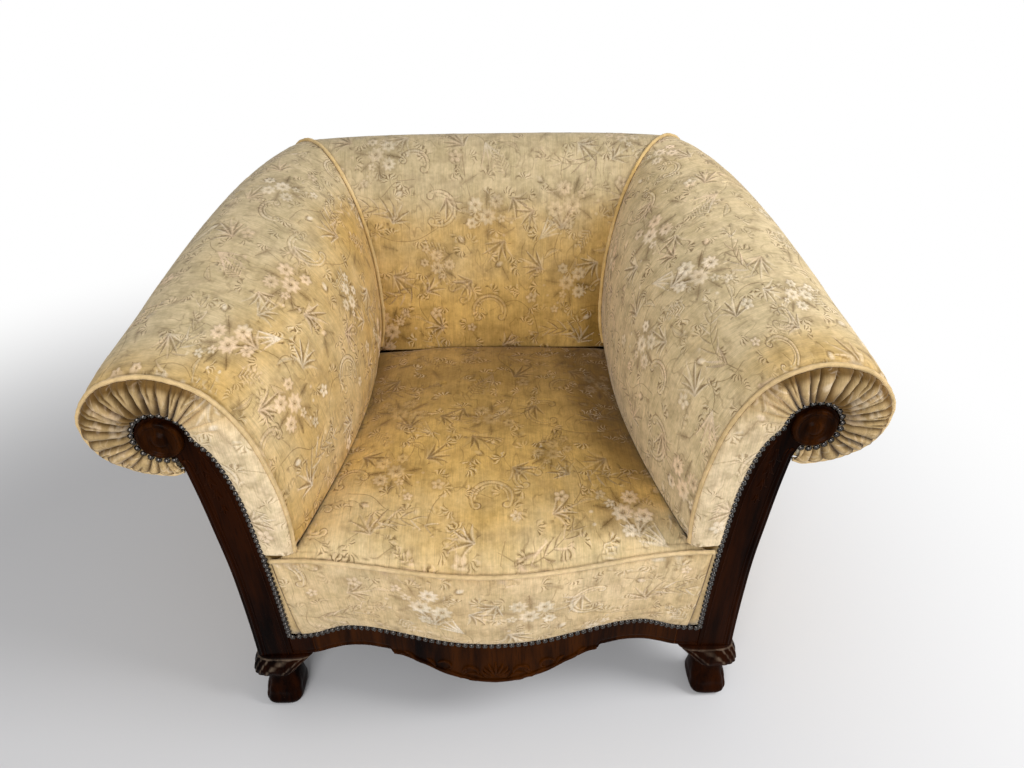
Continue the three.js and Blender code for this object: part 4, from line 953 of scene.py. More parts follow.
def foot_z(y):
    return np.interp(y, ARM_FOOT_LINE[:, 1], ARM_FOOT_LINE[:, 2])


def seat_back_y(x):
    return np.interp(np.abs(x), BACK_FOOT_LINE[:, 0], BACK_FOOT_LINE[:, 1]) - 1.5


def seat_side_y(v):
    return lerp(SIDE_EDGE_Y, float(seat_back_y(SEAT_REAR_HALF)), v)


def welt_z(x):
    return SEAT_WELT_Z - SEAT_WELT_FALL * (np.abs(x) / RAIL_HALF) ** 4


def seat_half(v):
    y = seat_side_y(v)
    return foot_x(np.maximum(y, ARM_FRONT_Y)) + 9 + 30 * (1 - smooth(-6, 22, y))


SEAT_LONG, BORDER_LONG = float(seat_back_y(0)) + 45, 660
STRIP_WIDE = 34


def seat_place(n, v, depth):
    """The seat: crowned between the arms, with a sewn line behind its front edge."""
    x = lerp(-1, 1, n) * seat_half(v)
    rear = seat_back_y(x) + 4 - 7 * np.maximum(0, 1 - (np.abs(x) / SEAT_REAR_HALF) ** 4)
    y = lerp(bow(x) - 1.0, rear, v)
    side_y = np.maximum(seat_side_y(v), ARM_FRONT_Y)
    rise = 1 - np.minimum(1, np.abs(x) / (foot_x(side_y) - 1)) ** 3
    edge = lerp(welt_z(x), foot_z(side_y) - 3.5, smooth(.004, .04, v) * (1 - .25 * (1 - smooth(0, .1, v))))
    run = np.minimum(1, .06 + .9 * v)
    crown = (SEAT_CROWN + 2) * rise * np.sin(np.pi * run) ** .6 + 5 * rise * smooth(.6, .95, v)
    behind = v * SEAT_LONG
    groove = (1.6 * np.exp(-((behind - 14) / 1.8) ** 2)
              + .7 * smooth(0, 7, behind) * (1 - smooth(7, 14, behind)) * -1.6)
    sag = 1.6 * np.sin(x / 47 + y / 61) + 1.1 * np.sin(x / 29 - y / 37 + 1.2)
    z = edge + crown * smooth(0, .06, v)
    return np.stack([x, y, z - depth - groove + sag * rise * smooth(.05, .2, v)], -1)


# Lighter at the front edge, darker towards the back and beside the right arm: painted light and shade.
def seat_fade_and_shade(n, v):
    return (.5 - 1.0 * smooth(.02, .75, v) + .2 * (1 - smooth(0, .12, v))
            - .75 * smooth(.72, .93, n) * smooth(.06, .3, v))


def border_inset(r):
    """The border stands in from the board's edge, more at its foot."""
    return 11.3 + 9 * (1 - r) ** .8


def border_place(n, r, depth):
    r = np.asarray(r, float)
    level = lerp(float(rail_top(RAIL_HALF)), SEAT_WELT_Z, r)
    x = lerp(-1, 1, n) * (inner_x(level) - border_inset(r))
    z = lerp(rail_top(x) + 2, welt_z(x) - 4.5, r)
    proud = np.interp(r, [0, .03, .08, .18, .35, .55, .75, .9, 1], [-.6, .6, 3, 6.2, 8.8, 10, 9.6, 8, 6.2])
    drag = .9 * np.sin(x / 23 + 5 * r) * np.sin(x / 71) * np.sin(np.pi * r)
    return np.stack([x, bow(x) - proud - drag + depth, z], -1)


def border_fade_and_shade(n, r):
    """The border is darkened where it rolls into the grooves at its ends: painted shade."""
    return .35 - 1.5 * (1 - smooth(1.5, 7, BORDER_LONG * np.minimum(n, 1 - n)))


def strip_place(n, r, depth):
    z = lerp(float(rail_top(RAIL_HALF - STRIP_WIDE)) + 2, ARM_FOOT - 2.5, np.asarray(r, float))
    return np.stack([inner_x(z) - .5 - (1 - n) * STRIP_WIDE, 3.6 - 2.2 * np.sin(np.pi * n) + depth, z], -1)


def strip_fade_and_shade(n, r):
    """The strip is darkened in the groove beside the border: painted shade."""
    return .35 - 1.6 * (1 - smooth(.06, .24, n - (1 - border_inset(r) / STRIP_WIDE)))


# Ruched arm fronts

RUCHING_COLUMNS, RUCHING_ROWS, RUCHING_THICK = 900, 36, 2.2
PLEAT_WIDTHS = (8.0, 14.5)


def board_edge(s, grow):
    """The board's edge facing section s of the arm front."""
    point = catmull(FACE[0], s)
    x, z = point[:, 0], point[:, 2]
    angle = np.arctan2(z - ROUNDEL_Z, x - ROUNDEL_X)
    angle = np.where((s < .5) & (angle < 0), angle + TURN, angle)
    angle = np.clip(angle, -.32 * TURN, .515 * TURN)
    head = np.stack([ROUNDEL_X + (HEAD_RADIUS + grow) * np.cos(angle),
                     ROUNDEL_Z + (HEAD_RADIUS + grow) * np.sin(angle)], 1)
    straight = np.stack([inner_x(z) - grow, z], 1)
    return np.where(((z < NECK_INNER) & (s < .5))[:, None], straight, head)


def blur(points, width):
    kernel = np.hanning(2 * width + 1)
    kernel /= kernel.sum()
    before, after = 2 * points[:1] - points[width:0:-1], 2 * points[-1:] - points[-2:-width - 2:-1]
    padded = np.concatenate([before, points, after])
    return np.stack([np.convolve(padded[:, k], kernel, "valid") for k in range(points.shape[1])], 1)


def ruched_front(hand, side, seed):
    """The arm front: flat below, gathered into deep pleats round the roundel."""
    rng = np.random.default_rng(seed)
    count, rows = RUCHING_COLUMNS, RUCHING_ROWS
    s = np.linspace(0, 1, count)
    outer = catmull(FACE[0], s)[:, [0, 2]]
    inner = blur(board_edge(s, .6), 14)
    width = np.linalg.norm(outer - inner, axis=1)
    run = lengths((outer + inner * 2) / 3)
    knots = [run[int(.25 * count)]]
    while knots[-1] < run[-1]:
        knots.append(knots[-1] + rng.uniform(*PLEAT_WIDTHS))
    depth_of = rng.uniform(.6, 1.2, len(knots) + 1)
    puff_of = rng.uniform(-1.6, 2.2, len(knots) + 1)
    split = rng.random(len(knots) + 1) < .45
    grid, pleat_shade = np.zeros((count, rows, 3)), np.zeros((count, rows))
    amount = smooth(.25, .38, s) * (1 - .4 * smooth(.84, 1, s))
    deep = 1 + .35 * np.exp(-((s - .52) / .16) ** 2)
    for j, r in enumerate(np.linspace(0, 1, rows)):
        wander = 5.5 * (r - .5) * smooth(.3, .6, s) + 1.8 * np.sin(run / 17 + 3.4 * r)
        phase = np.interp(run + wander, knots, np.arange(len(knots)), left=0, right=len(knots) - 1e-3)
        cell = phase.astype(int)
        q = phase - cell
        fold = np.abs(np.sin(np.pi * q)) ** .5
        crease = np.where(split[cell], np.exp(-((q - .5) / .09) ** 2) * (1 - smooth(.25, .6, r)), 0)
        hold = np.interp(r, [0, .08, .35, .75, .93, 1], [.55, .72, .95, 1, .7, .15])
        local = depth_of[cell] * deep
        cut = (11.5 * (1 - fold) * local + 3.5 * crease) * amount * hold
        swell = lerp(7.0, 13.5, smooth(.2, .4, s)) * np.minimum(1, width / 60) * np.interp(
            r, [0, .05, .2, .5, .8, .93, 1], [.1, .5, .95, 1, .72, .22, -.05])
        swell = swell + puff_of[cell] * fold * amount * np.sin(np.pi * r)
        waves = 1.1 * np.sin(s * 95 + 7 * r) + .8 * np.sin(s * 41 - 5 * r)
        drag = (1 - smooth(.24, .36, s)) * waves * np.sin(np.pi * r)
        y = -np.maximum(swell - cut, -3.0) - drag * .6
        # Darker in the pleat valleys and creases: painted shade.
        fold_shade = ((1 - fold) * (.5 + .6 * local) + .7 * crease) * amount
        pleat_shade[:, j] = np.clip(fold_shade, 0, 1) ** 1.3 * (.4 + .6 * hold)
        # Darker along the piping and towards the hub: painted shade.
        pleat_shade[:, j] += .6 * amount * np.interp(r, [0, .07, .13, .22, .8, 1], [1.4, 1.2, .5, 0, 0, .5])
        # A painted shadow on the upper pleats next to the roundel.
        pleat_shade[:, j] += .85 * np.exp(-((s - .5) / .15) ** 2) * smooth(.38, .95, r)
        point = outer + (inner - outer) * (.03 + .97 * r)
        y = lerp(y, 1.0, np.clip(1 - (1 - r) * width / 8, 0, 1))
        grid[:, j] = np.stack([point[:, 0], y, point[:, 1]], 1)
    pleat_shade = np.clip(pleat_shade, 0, 1).ravel()
    uv = grid[..., [0, 2]].reshape(-1, 2)
    pale, dark = figure_at(uv, figure_parts(HALF_WIDTH, ARM_HEIGHT, (60, 150)))
    plain = np.repeat(1 - .6 * amount, rows)
    # Darker over the gathered part, partly soil and partly painted shade, and darker still where the pleats
    # carry painted shade.
    fade = np.repeat(np.interp(s, [0, .25, .4, 1], [.9, .7, -.25, -.35]), rows) - .8 * pleat_shade
    # The pleats' painted shade also goes into the dark figure value.
    values = {"fade": fade, "figure_pale": pale * plain, "figure_dark": np.maximum(dark * plain, pleat_shade * .75),
              "figured": plain}
    made = make(f"{hand}_arm_front_ruching", *shell(grid, moved_back(grid, grid[..., 1] + RUCHING_THICK)),
                "moquette_faded", [f"{hand}_arm_front_panel"], None, side, np.concatenate([uv, uv]),
                **{key: np.concatenate([value, value]) for key, value in values.items()})


CORD_SIDES, CORD_STEP = 12, 3


def piping(name, path, radius, node, look, fade, side=1):
    """A welt: a cord under cloth, slightly uneven along its length."""
    length = lengths(path)
    even = np.linspace(0, length[-1], max(40, int(length[-1] / CORD_STEP)))
    path = np.stack([np.interp(even, length, path[:, k]) for k in range(3)], 1)
    beat = 1 + .07 * np.sin(even / 2.4 + 2 * np.sin(even / 11)) + .05 * np.sin(even / 6.3)
    points, faces = tube(path, radius * beat, CORD_SIDES)
    round_cord = np.linspace(0, TURN * radius, CORD_SIDES)
    uv = np.stack([np.tile(round_cord, len(path)), np.repeat(even, CORD_SIDES)], 1)
    make(name, points, faces, look, [node], None, side, uv, fade=np.full(len(points), fade))


for side, hand in SIDES:
    ruched_front(hand, side, 11 + side)
    path = catmull(FACE[0], np.linspace(0, 1, 600))
    foot = np.linspace(float(inner_x(ARM_FOOT)) - 2, path[0, 0] + 2, 26)
    foot = np.stack([foot, 0 * foot, np.full(26, ARM_FOOT + 1.0)], 1)
    path = moved_back(blur(np.concatenate([foot, path]), 5), 3.4)
    piping(f"{hand}_arm_front_piping", path, 3.6, f"{hand}_arm_front_welt", "moquette_faded", .1, side)
    s = np.linspace(.02, .97, 240)
    seam, inner = catmull(FACE[1], s), catmull(CORE[1], s)
    path = seam + unit(seam - inner) * lerp(4.6, 1.2, smooth(.3, .5, s))[:, None]
    piping(f"{hand}_back_seam_piping", path, 3.6, f"{hand}_back_seam_welt", "moquette", .45, side)

x = np.linspace(-339, 339, 240)
piping("seat_front_piping", np.stack([x, bow(x) - 5.6, welt_z(x) - .6], 1), 3.4, "seat_front_welt",
       "moquette_faded", .3)


def even(width):
    """A panel of the same true width from end to end."""
    return lambda a: 0 * a + width


cloth("seat_cloth", "seat_cover", seat_place, (590, SEAT_LONG), lambda a: 2 * seat_half(a / SEAT_LONG),
      (150, 30), seat_fade_and_shade, centred=True, roll=7,
      pale_at=lambda v: .95 - .8 * smooth(.06, .4, v), rows=(5, 8.5, 12, 13.2, 14.4, 15.6, 18))
cloth("seat_front_border_cloth", "seat_front_border", border_place, (BORDER_LONG, 190.0), even(BORDER_LONG),
      (60, 250), border_fade_and_shade, "moquette_faded", centred=True, roll=7)
for side, hand in SIDES:
    cloth(f"{hand}_seat_side_cloth", f"{hand}_seat_side_strip", strip_place, (STRIP_WIDE, 180),
          even(STRIP_WIDE), (0, 0), strip_fade_and_shade, "moquette_faded",
          side, roll=1.5, thick=1.6, figure=False)


# Outside covers


def outside_corner(v):
    top = catmull(FACE[1], 1.0)
    return np.stack([np.full_like(v, top[0]), np.full_like(v, top[1]), lerp(top[2], COVER_FOOT, v)], -1)


def outside_arm_place(n, along, depth):
    v, t = lerp(1, .012, along), lerp(0, .997, n)
    top = catmull(FACE[0], 1.0)
    z = lerp(top[2], COVER_FOOT, v)
    edge = outer_x(np.minimum(z, NECK_OUTER)) - 1
    front = np.stack([lerp(top[0], edge, smooth(0, .12, v)), np.full_like(z, FACING_THICK + .3), z], -1)
    chord = outside_corner(v) - front
    inward = unit(np.stack([-chord[..., 1], chord[..., 0], 0 * v], -1))
    bulge = 4 * t * (1 - t) * (1 - smooth(0, .5, v)) * 12
    return front + chord * t[..., None] + inward * (depth - bulge)[..., None]


def outside_back_place(n, along, depth):
    v = lerp(1, .012, along)
    corner, top = outside_corner(v), catmull(FACE[2], 1.0)
    share = np.abs(2 * n - 1)
    return np.stack([corner[..., 0] * (1 - 2 * n), lerp(top[1], corner[..., 1], share) - depth,
                     lerp(lerp(top[2], COVER_FOOT, v), corner[..., 2], share)], -1)


def outside_fade(n, r):
    return .3 + 0 * n


for side, hand in SIDES:
    cloth(f"{hand}_outside_arm_cloth", f"{hand}_outside_arm_cover", outside_arm_place, (680, 420), even(680),
          (90, 10), outside_fade, side=side, roll=2.5)
cloth("outside_back_cloth", "outside_back_cover", outside_back_place, (722, 515), even(722), (20, 40),
      outside_fade, roll=2.5)


# Stuffing under the covers

PAD_DEPTH, SEAT_PAD_FOOT = 9.0, 302


def stuffing(name, node, outer, inner, fill, side=1):
    make(name, *shell(outer, inner), "stuffing", [node], None, side)


def face_to_core(fn, t0, t1, columns):
    """The grid just under the face of an arm or the back, and the one on its core."""
    s, t = np.meshgrid(np.linspace(0, 1, 44), np.linspace(t0, t1, columns), indexing="ij")
    return offset(fn, s, t, np.full(s.shape, PAD_DEPTH)), fn(CORE, s, t)


def under_cover(place, u0, u1, v0, v1, depth, nu, nv):
    """A grid at a depth under part of a cover."""
    u, v = np.meshgrid(np.linspace(0, 1, nu), np.linspace(0, 1, nv), indexing="ij")
    return place(lerp(u0, u1, u), lerp(v0, v1, v), np.full(u.shape, depth))


for side, hand in SIDES:
    stuffing(f"{hand}_arm_pad", f"{hand}_arm_stuffing", *face_to_core(arm_point, .045, .985, 26), .9, side)
    s = np.linspace(.02, .98, 60)
    rim, hub = catmull(FACE[0], s)[:, [0, 2]], blur(board_edge(s, 2.5), 4)
    share = np.array([.2, .5, .8])[None, :, None]
    flat = rim[:, None] + (hub - rim)[:, None] * share
    depth = np.full(flat.shape[:2], 9.5) - 3 * np.sin(np.pi * share[..., 0])
    near = np.stack([flat[..., 0], depth, flat[..., 1]], -1)
    stuffing(f"{hand}_arm_front_wad", f"{hand}_arm_front_pad", near, moved_back(near, FACING_THICK), .8, side)
stuffing("back_pad", "back_stuffing", *face_to_core(back_point, .02, 1.98, 46), .9)
top = under_cover(seat_place, .02, .98, .02, .98, 11.0, 30, 30)
under = top.copy()
under[..., 2] = SEAT_PAD_FOOT
stuffing("seat_pad", "seat_stuffing", top, under, .85)
wad = under_cover(border_place, .1, .9, .1, .62, 5.0, 40, 10)
stuffing("seat_front_wad", "seat_front_stuffing", wad, moved_back(wad, FACING_THICK), .8)


# Show wood

EDGE_KEEP, BOARD_BEVEL = 8, 2.2
ROUNDEL_SIDES, ROUNDEL_RADIUS = 64, 31
CARVING_RISE, CARVING_ROOT = 1.4, -1.4
ROUNDEL_PROFILE = [  # radius as a share, height over the board
    (0, 9.2), (.12, 9.1), (.26, 8.2), (.36, 6.2), (.45, 4.6), (.55, 3.9), (.66, 4.0), (.72, 5.0),
    (.78, 6.7), (.84, 7.6), (.9, 7.3), (.95, 6.0), (.985, 3.9), (1, 2.0), (1, -1.0)]


def facing_loop():
    """The board's closed outline of (x, z), softened where the arm meets the round head."""
    z = np.linspace(FACING_FOOT, NECK_OUTER, 60)
    outer = np.stack([outer_x(z), z], 1)
    angles = np.linspace(-.3 * TURN, .5 * TURN, 70)
    head = np.stack([ROUNDEL_X + HEAD_RADIUS * np.cos(angles),
                     ROUNDEL_Z + HEAD_RADIUS * np.sin(angles)], 1)
    z = np.linspace(NECK_INNER - 6, FACING_FOOT, 80)
    inner = np.stack([inner_x(z), z], 1)
    upper = blur(np.concatenate([outer[EDGE_KEEP:], head, inner[:-EDGE_KEEP]]), 3)
    return np.concatenate([outer[:EDGE_KEEP], upper, inner[-EDGE_KEEP:]])


def facing_board(hand, side):
    """The board cut to its outline, with rounded front and back edges."""
    name, loop = f"{hand}_arm_facing_board", facing_loop()
    curve = bpy.data.curves.new(name, "CURVE")
    curve.dimensions = "2D"
    curve.fill_mode = "BOTH"
    curve.extrude = (FACING_THICK / 2 - BOARD_BEVEL) * MM
    curve.bevel_depth = BOARD_BEVEL * MM
    curve.bevel_resolution = 3
    curve.offset = -BOARD_BEVEL * MM
    spline = curve.splines.new("POLY")
    spline.points.add(len(loop) - 1)
    for point, (x, z) in zip(spline.points, loop):
        point.co = (x * side * MM, z * MM, 0, 1)
    spline.use_cyclic_u = True
    holder = bpy.data.objects.new(name, curve)
    bpy.context.scene.collection.objects.link(holder)
    mesh = bpy.data.meshes.new_from_object(holder.evaluated_get(bpy.context.evaluated_depsgraph_get()))
    bpy.data.objects.remove(holder)
    upright = Matrix.Rotation(math.pi / 2, 4, "X")
    mesh.transform(Matrix.Translation((0, FACING_THICK / 2 * MM + FRONT_Y, 0)) @ upright)
    with editing(mesh) as work:
        bmesh.ops.remove_doubles(work, verts=work.verts, dist=1e-6)
        bmesh.ops.recalc_face_normals(work, faces=work.faces)
    mesh.polygons.foreach_set("use_smooth", [True] * len(mesh.polygons))
    mesh.set_sharp_from_angle(angle=math.radians(38))
    settle(name, mesh, "mahogany", [f"{hand}_arm_facing"])


def relief(name, strokes, surface, look, side=1, sides=7):
    """Carved ridges on a surface(x, z, height): each stroke is (points, half widths, height)."""
    points, faces = [], []
    ring = sides + 2
    for line, half, height in strokes:
        line = np.asarray(line, float)
        half = np.broadcast_to(np.asarray(half, float), len(line))
        high = CARVING_RISE * np.broadcast_to(np.asarray(height, float), len(line))
        high = high * np.minimum(1, half / max(half.max(), .01) * 1.4)
        way = unit(np.gradient(line, axis=0))
        across = np.stack([-way[:, 1], way[:, 0]], 1)
        start = len(points)
        for k in range(len(line)):
            for angle in np.linspace(0, np.pi, sides):
                x, z = line[k] + across[k] * half[k] * math.cos(angle)
                points.append(surface(x, z, high[k] * math.sin(angle) - .4))
            for share in (-1, 1):
                x, z = line[k] + across[k] * half[k] * share
                points.append(surface(x, z, CARVING_ROOT))
        last = start + (len(line) - 1) * ring
        faces += grid_faces(len(line), ring, start, True)
        faces += [tuple(range(start, start + ring)), tuple(range(last + ring - 1, last - 1, -1))]
    make(name, np.array(points), faces, look, (), "mahogany", side)


def leaf_stroke(x, z, length, width, angle, height, bend):
    t = np.linspace(0, 1, 12)
    line = turned(x, z, angle, length * t, bend * length * np.sin(np.pi * t * .9))
    return (line, np.maximum(.35, width * np.sin(np.pi * np.clip(t, .06, .97)) ** .7), height)


def board_front(x, z, height):
    return (x, -height, z)


def rail_front(x, z, height):
    z = min(max(z, float(rail_bottom(x)) + 1.2), float(rail_top(x)) - 4)
    return (x, bow(x) - height, z)


def facing_carving(hand, side):
    """Beads along both edges of the board, and a falling row of leaves between them."""
    z = np.linspace(FACING_FOOT + 3, NECK_OUTER + 8, 90)
    outer = outer_x(np.minimum(z, NECK_OUTER)) - 8 + .55 * np.maximum(0, z - NECK_OUTER)
    outer_bead = np.stack([outer, z], 1)
    z = np.linspace(FACING_FOOT + 3, NECK_INNER - 12, 90)
    inner_bead = np.stack([inner_x(z) + 8, z], 1)
    strokes = [(outer_bead, 2.6, 1.5), (outer_bead - [6, 0], 1.0, .9), (inner_bead, 1.5, 1.0)]
    down = -math.pi / 2
    for k, z in enumerate((546, 520, 492, 462)):
        x, size = lerp(float(inner_x(z)), float(outer_x(z)), .46), 1 - .16 * k
        for way in (-1, 1):
            strokes.append(leaf_stroke(x + 1.5 * way, z + 6, 26 * size, 3.4 * size, down + way * .42,
                                       1.5, -.18 * way))
        strokes.append(leaf_stroke(x, z + 2, 28 * size, 2.3 * size, down, 1.7, 0))
    relief(f"{hand}_arm_facing_carving", strokes, board_front, "mahogany", side)


def roundel(hand, side):
    fine = catmull(ROUNDEL_PROFILE, np.linspace(0, 1, 46))
    angles = np.linspace(0, TURN, ROUNDEL_SIDES, endpoint=False)
    points = [(ROUNDEL_X, -fine[0][1] - .2, ROUNDEL_Z)]
    for r, h in fine[1:]:
        ring = [polar(ROUNDEL_X, ROUNDEL_Z, r * ROUNDEL_RADIUS, a) for a in angles]
        points += [(x, -h - .2, z) for x, z in ring]
    faces = grid_faces(len(fine) - 1, ROUNDEL_SIDES, 1, True)
    faces += [(0, 1 + k, 1 + (k + 1) % ROUNDEL_SIDES) for k in range(ROUNDEL_SIDES)]
    faces.append(tuple(range(len(points) - ROUNDEL_SIDES, len(points)))[::-1])
    made = make(f"{hand}_roundel_turned", points, faces, "mahogany_rail", [f"{hand}_roundel"],
                "mahogany", side)
    with editing(made.data) as work:
        bmesh.ops.recalc_face_normals(work, faces=work.faces)


for side, hand in SIDES:
    facing_board(hand, side)
    facing_carving(hand, side)
    roundel(hand, side)


def rail_solid(name, x0, x1, columns, node, look, side=1, rows=26):
    """A length of the front rail, with a groove above its lower edge."""
    x, r = np.linspace(x0, x1, columns), np.linspace(0, 1, rows)
    lower = rail_bottom(x)[:, None]
    ease = 1.8 * np.clip(1 - np.minimum(r, 1 - r) / .035, 0, 1) ** 2
    z = lower + (rail_top(x)[:, None] - lower) * r
    hollow = 1.4 * np.exp(-(((z - lower) - 8.5) / 1.6) ** 2)
    front = np.stack([np.repeat(x[:, None], rows, 1), bow(x)[:, None] + ease + hollow, z], -1)
    make(name, *shell(front, moved_back(front, FACING_THICK)), look, [node], "mahogany", side)


rail_solid("front_rail_carved", -RAIL_BLOCK, RAIL_BLOCK, 240, "front_rail", "mahogany_rail")
for side, hand in SIDES:
    rail_solid(f"{hand}_front_rail_end", RAIL_BLOCK + .4, RAIL_HALF, 20, f"{hand}_front_rail_block",
               "mahogany", side)

# The drop's ornament: a shell of nine leaves, with scrolls and leaves to each side, over a beaded edge
VINE = [(52, 108), (72, 116), (96, 124), (124, 139), (158, 148)]
strokes = []
for k in range(-4, 5):
    angle = math.pi / 2 + .34 * k
    strokes.append(leaf_stroke(*polar(0, 112, 3.0, angle), 34 - 2.2 * abs(k) ** 1.4, 3.3, angle, 2.6,
                               .05 * k))
for sign in (-1, 1):
    for line, width, head, height in (
            (arc(44, 122, 15, 200, -60, 26, -.35), 2.6, .2, 2.4),
            (arc(84, 134, 13, 20, 290, 26, -.4), 2.3, .2, 2.2),
            (catmull(VINE, np.linspace(0, 1, 24)), 2.2, .3, 2.0)):
        strokes.append((line * [sign, 1], taper(len(line), width, head, .5), height))
    for x, z, size, angle in (
            (20, 106, 30, .35), (58, 114, 22, 1.9), (68, 112, 26, .1), (100, 128, 24, .9),
            (112, 132, 26, -.02), (134, 142, 24, .7), (40, 104, 26, -.12), (26, 100, 24, -.35)):
        way = angle if sign > 0 else math.pi - angle
        strokes.append(leaf_stroke(x * sign, z, size, 3.4, way, 2.2, .18 * sign))
x = np.linspace(-168, 168, 160)
strokes.append((np.stack([x, rail_bottom(x) + 3.6], 1), 2.5, 2.4))
relief("front_rail_ornament", strokes, rail_front, "mahogany_rail")


def paw_foot(hand, side, rings=110, around=96):
    """A fluted knee over an ankle and a paw, in rings from the top down."""
    angles = np.linspace(0, TURN, around, endpoint=False)
    c, s = np.cos(angles), np.sin(angles)
    ahead = np.clip(-s, 0, 1)
    grid, worn = np.zeros((rings, around, 3)), np.zeros((rings, around))
    for k, (z, inner, outer, front, back) in enumerate(catmull(FOOT, np.linspace(0, 1, rings))):
        power = .55 if z > .62 else lerp(.72, .5, float(smooth(.42, .14, z)))
        rx, ry = ((1 + np.sign(q) * np.abs(q) ** power) / 2 for q in (c, s))
        x, y = lerp(inner, outer, rx) * HALF_WIDTH, lerp(front, back, ry) * FOOT_DEPTH
        way = unit(np.stack([x - x.mean(), y - y.mean()], 1))
        knee = smooth(.62, .7, z) * (1 - smooth(.93, .985, z))
        crest = np.abs(np.sin(angles * 9 + z * 7))
        flutes = 3.0 * knee * (crest ** .6 - .75)
        lip = 1.6 * smooth(.93, .96, z) * (1 - smooth(.985, 1, z))
        between = np.abs(np.cos((angles + np.pi / 2) * 4.2)) ** .7 - .62
        toes = 3.4 * smooth(.5, .34, z) * smooth(.02, .16, z) * ahead**.5 * between
        knuckle = 2.0 * ahead * np.exp(-((z - .3) / .09) ** 2)
        round_foot = 3.4 * smooth(.26, .08, z) - 2.6 * smooth(.05, 0, z) ** 2
        push = flutes + lip + toes + knuckle + round_foot
        grid[k] = np.stack([x + way[:, 0] * push, y + way[:, 1] * push, np.full(around, z * FOOT_TOP)], 1)
        # Pale streaks along the flute crests and the lip under the top: painted highlights.
        worn[k] = knee * smooth(.93, 1, crest) * .4 + .36 * smooth(.945, .965, z) * (1 - smooth(.97, .985, z))
    points = grid.reshape(-1, 3)
    faces = grid_faces(rings, around, 0, True)
    faces += [tuple(range(around)), tuple(range(len(points) - 1, len(points) - around - 1, -1))]
    make(f"{hand}_paw_foot", points, faces, "mahogany", [f"{hand}_front_foot"], None, side, worn=worn.ravel())


for side, hand in SIDES:
    paw_foot(hand, side)


# Dome nails

NAIL_PITCH, NAIL_RADIUS, NAIL_HEIGHT = 10.8, 4.9, 3.7
DOME_RINGS, DOME_SIDES = 5, 14


def domes(name, path, facing, node, side=1):
    """A row of single domes, each with its own slight tilt and size; facing(p) is the way out at p."""
    length = lengths(path)
    count = int(round(length[-1] / NAIL_PITCH))
    rng = np.random.default_rng(5 + side)
    points, faces = [], []
    rim = DOME_SIDES * (DOME_RINGS - 1)
    for k in range(count + 1):
        at = np.array([np.interp(length[-1] * k / count, length, path[:, q]) for q in range(3)])
        out = unit(facing(at) + rng.normal(0, .05, 3))
        u = unit(np.cross(out, [0, 0, 1]))
        v = np.cross(out, u)
        start = len(points)
        size = NAIL_RADIUS * rng.uniform(.94, 1.02)
        for lift in np.radians(20.0 * np.arange(DOME_RINGS)):
            for turn in TURN * np.arange(DOME_SIDES) / DOME_SIDES:
                points.append(at + size * math.cos(lift) * (u * math.cos(turn) + v * math.sin(turn))
                              + out * NAIL_HEIGHT * math.sin(lift))
        points += [at + out * NAIL_HEIGHT, at - out * .3]
        top = start + rim + DOME_SIDES
        faces += grid_faces(DOME_RINGS, DOME_SIDES, start, True)
        after = [(j, (j + 1) % DOME_SIDES) for j in range(DOME_SIDES)]
        faces += [(start + rim + j, start + rim + i, top) for j, i in after]
        faces += [(start + i, start + j, top + 1) for j, i in after]
    make(name, np.array(points), faces, "antique_bronze", [node], None, side)


def rail_slope(p):
    return np.array([float(bow(p[0] + 3) - bow(p[0] - 3)) / 6, -1, 0])


for side, hand in SIDES:
    edge = blur(board_edge(np.linspace(1, 0, 500), 3.2), 12)
    z = np.linspace(ARM_FOOT, float(rail_top(RAIL_HALF)) + 8, 60)
    edge = np.concatenate([edge[edge[:, 1] > ARM_FOOT], np.stack([inner_x(z) - 3.2, z], 1)])
    domes(f"{hand}_facing_dome_nails", np.stack([edge[:, 0], np.full(len(edge), -.2), edge[:, 1]], 1),
          lambda p: np.array([0, -1, 0]), f"{hand}_facing_nails", side)
half = float(inner_x(rail_top(RAIL_HALF))) - 8
x = np.linspace(-half, half, 300)
domes("front_rail_dome_nails", np.stack([x, bow(x) - .2, rail_top(x) + 3.2], 1), rail_slope,
      "front_rail_nails")


# Frame parts that stand for a CAD node with its shape kept

CLOTH_STEP, CLOTH_WAVE = 16, .12
EDGE_ROUND = 1.6


def copied(name, node, change, look):
    """A copy of a CAD node, changed by mesh code, that stands for it."""
    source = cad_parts[node]
    mesh = source.data.copy()
    mesh.name = name
    with editing(mesh) as work:
        change(work)
    return settle(name, mesh, look, [node], matrix=source.matrix_world)


def round_edges(work):
    bmesh.ops.remove_doubles(work, verts=work.verts, dist=1e-5)
    bmesh.ops.dissolve_limit(work, angle_limit=math.radians(4), verts=work.verts, edges=work.edges)
    edges = [e for e in work.edges if len(e.link_faces) == 2 and e.calc_face_angle(0) > math.radians(30)]
    bmesh.ops.bevel(work, geom=edges, offset=EDGE_ROUND * MM, segments=2, profile=.6, affect="EDGES",
                    clamp_overlap=True)


def tacked(name, node, look, out):
    """A tacked cloth in place of its plain slab: a fine mesh with the slight waves of its weave along out."""
    def wave(work):
        bmesh.ops.remove_doubles(work, verts=work.verts, dist=1e-6)
        for _ in range(6):
            long = [e for e in work.edges if e.calc_length() > CLOTH_STEP * MM]
            bmesh.ops.subdivide_edges(work, edges=long, cuts=1)
            bmesh.ops.triangulate(work, faces=work.faces)
        for v in work.verts:
            x, y, z = (c / MM for c in v.co)
            high = math.sin(x / 31 + y / 47) * math.sin(y / 29 - z / 37) + .5 * math.sin(x / 13 + z / 17)
            v.co += Vector(out) * CLOTH_WAVE * high * MM

    made = copied(name, node, wave, look)
    made.data.polygons.foreach_set("use_smooth", [True] * len(made.data.polygons))
    made.data.set_sharp_from_angle(angle=math.radians(50))


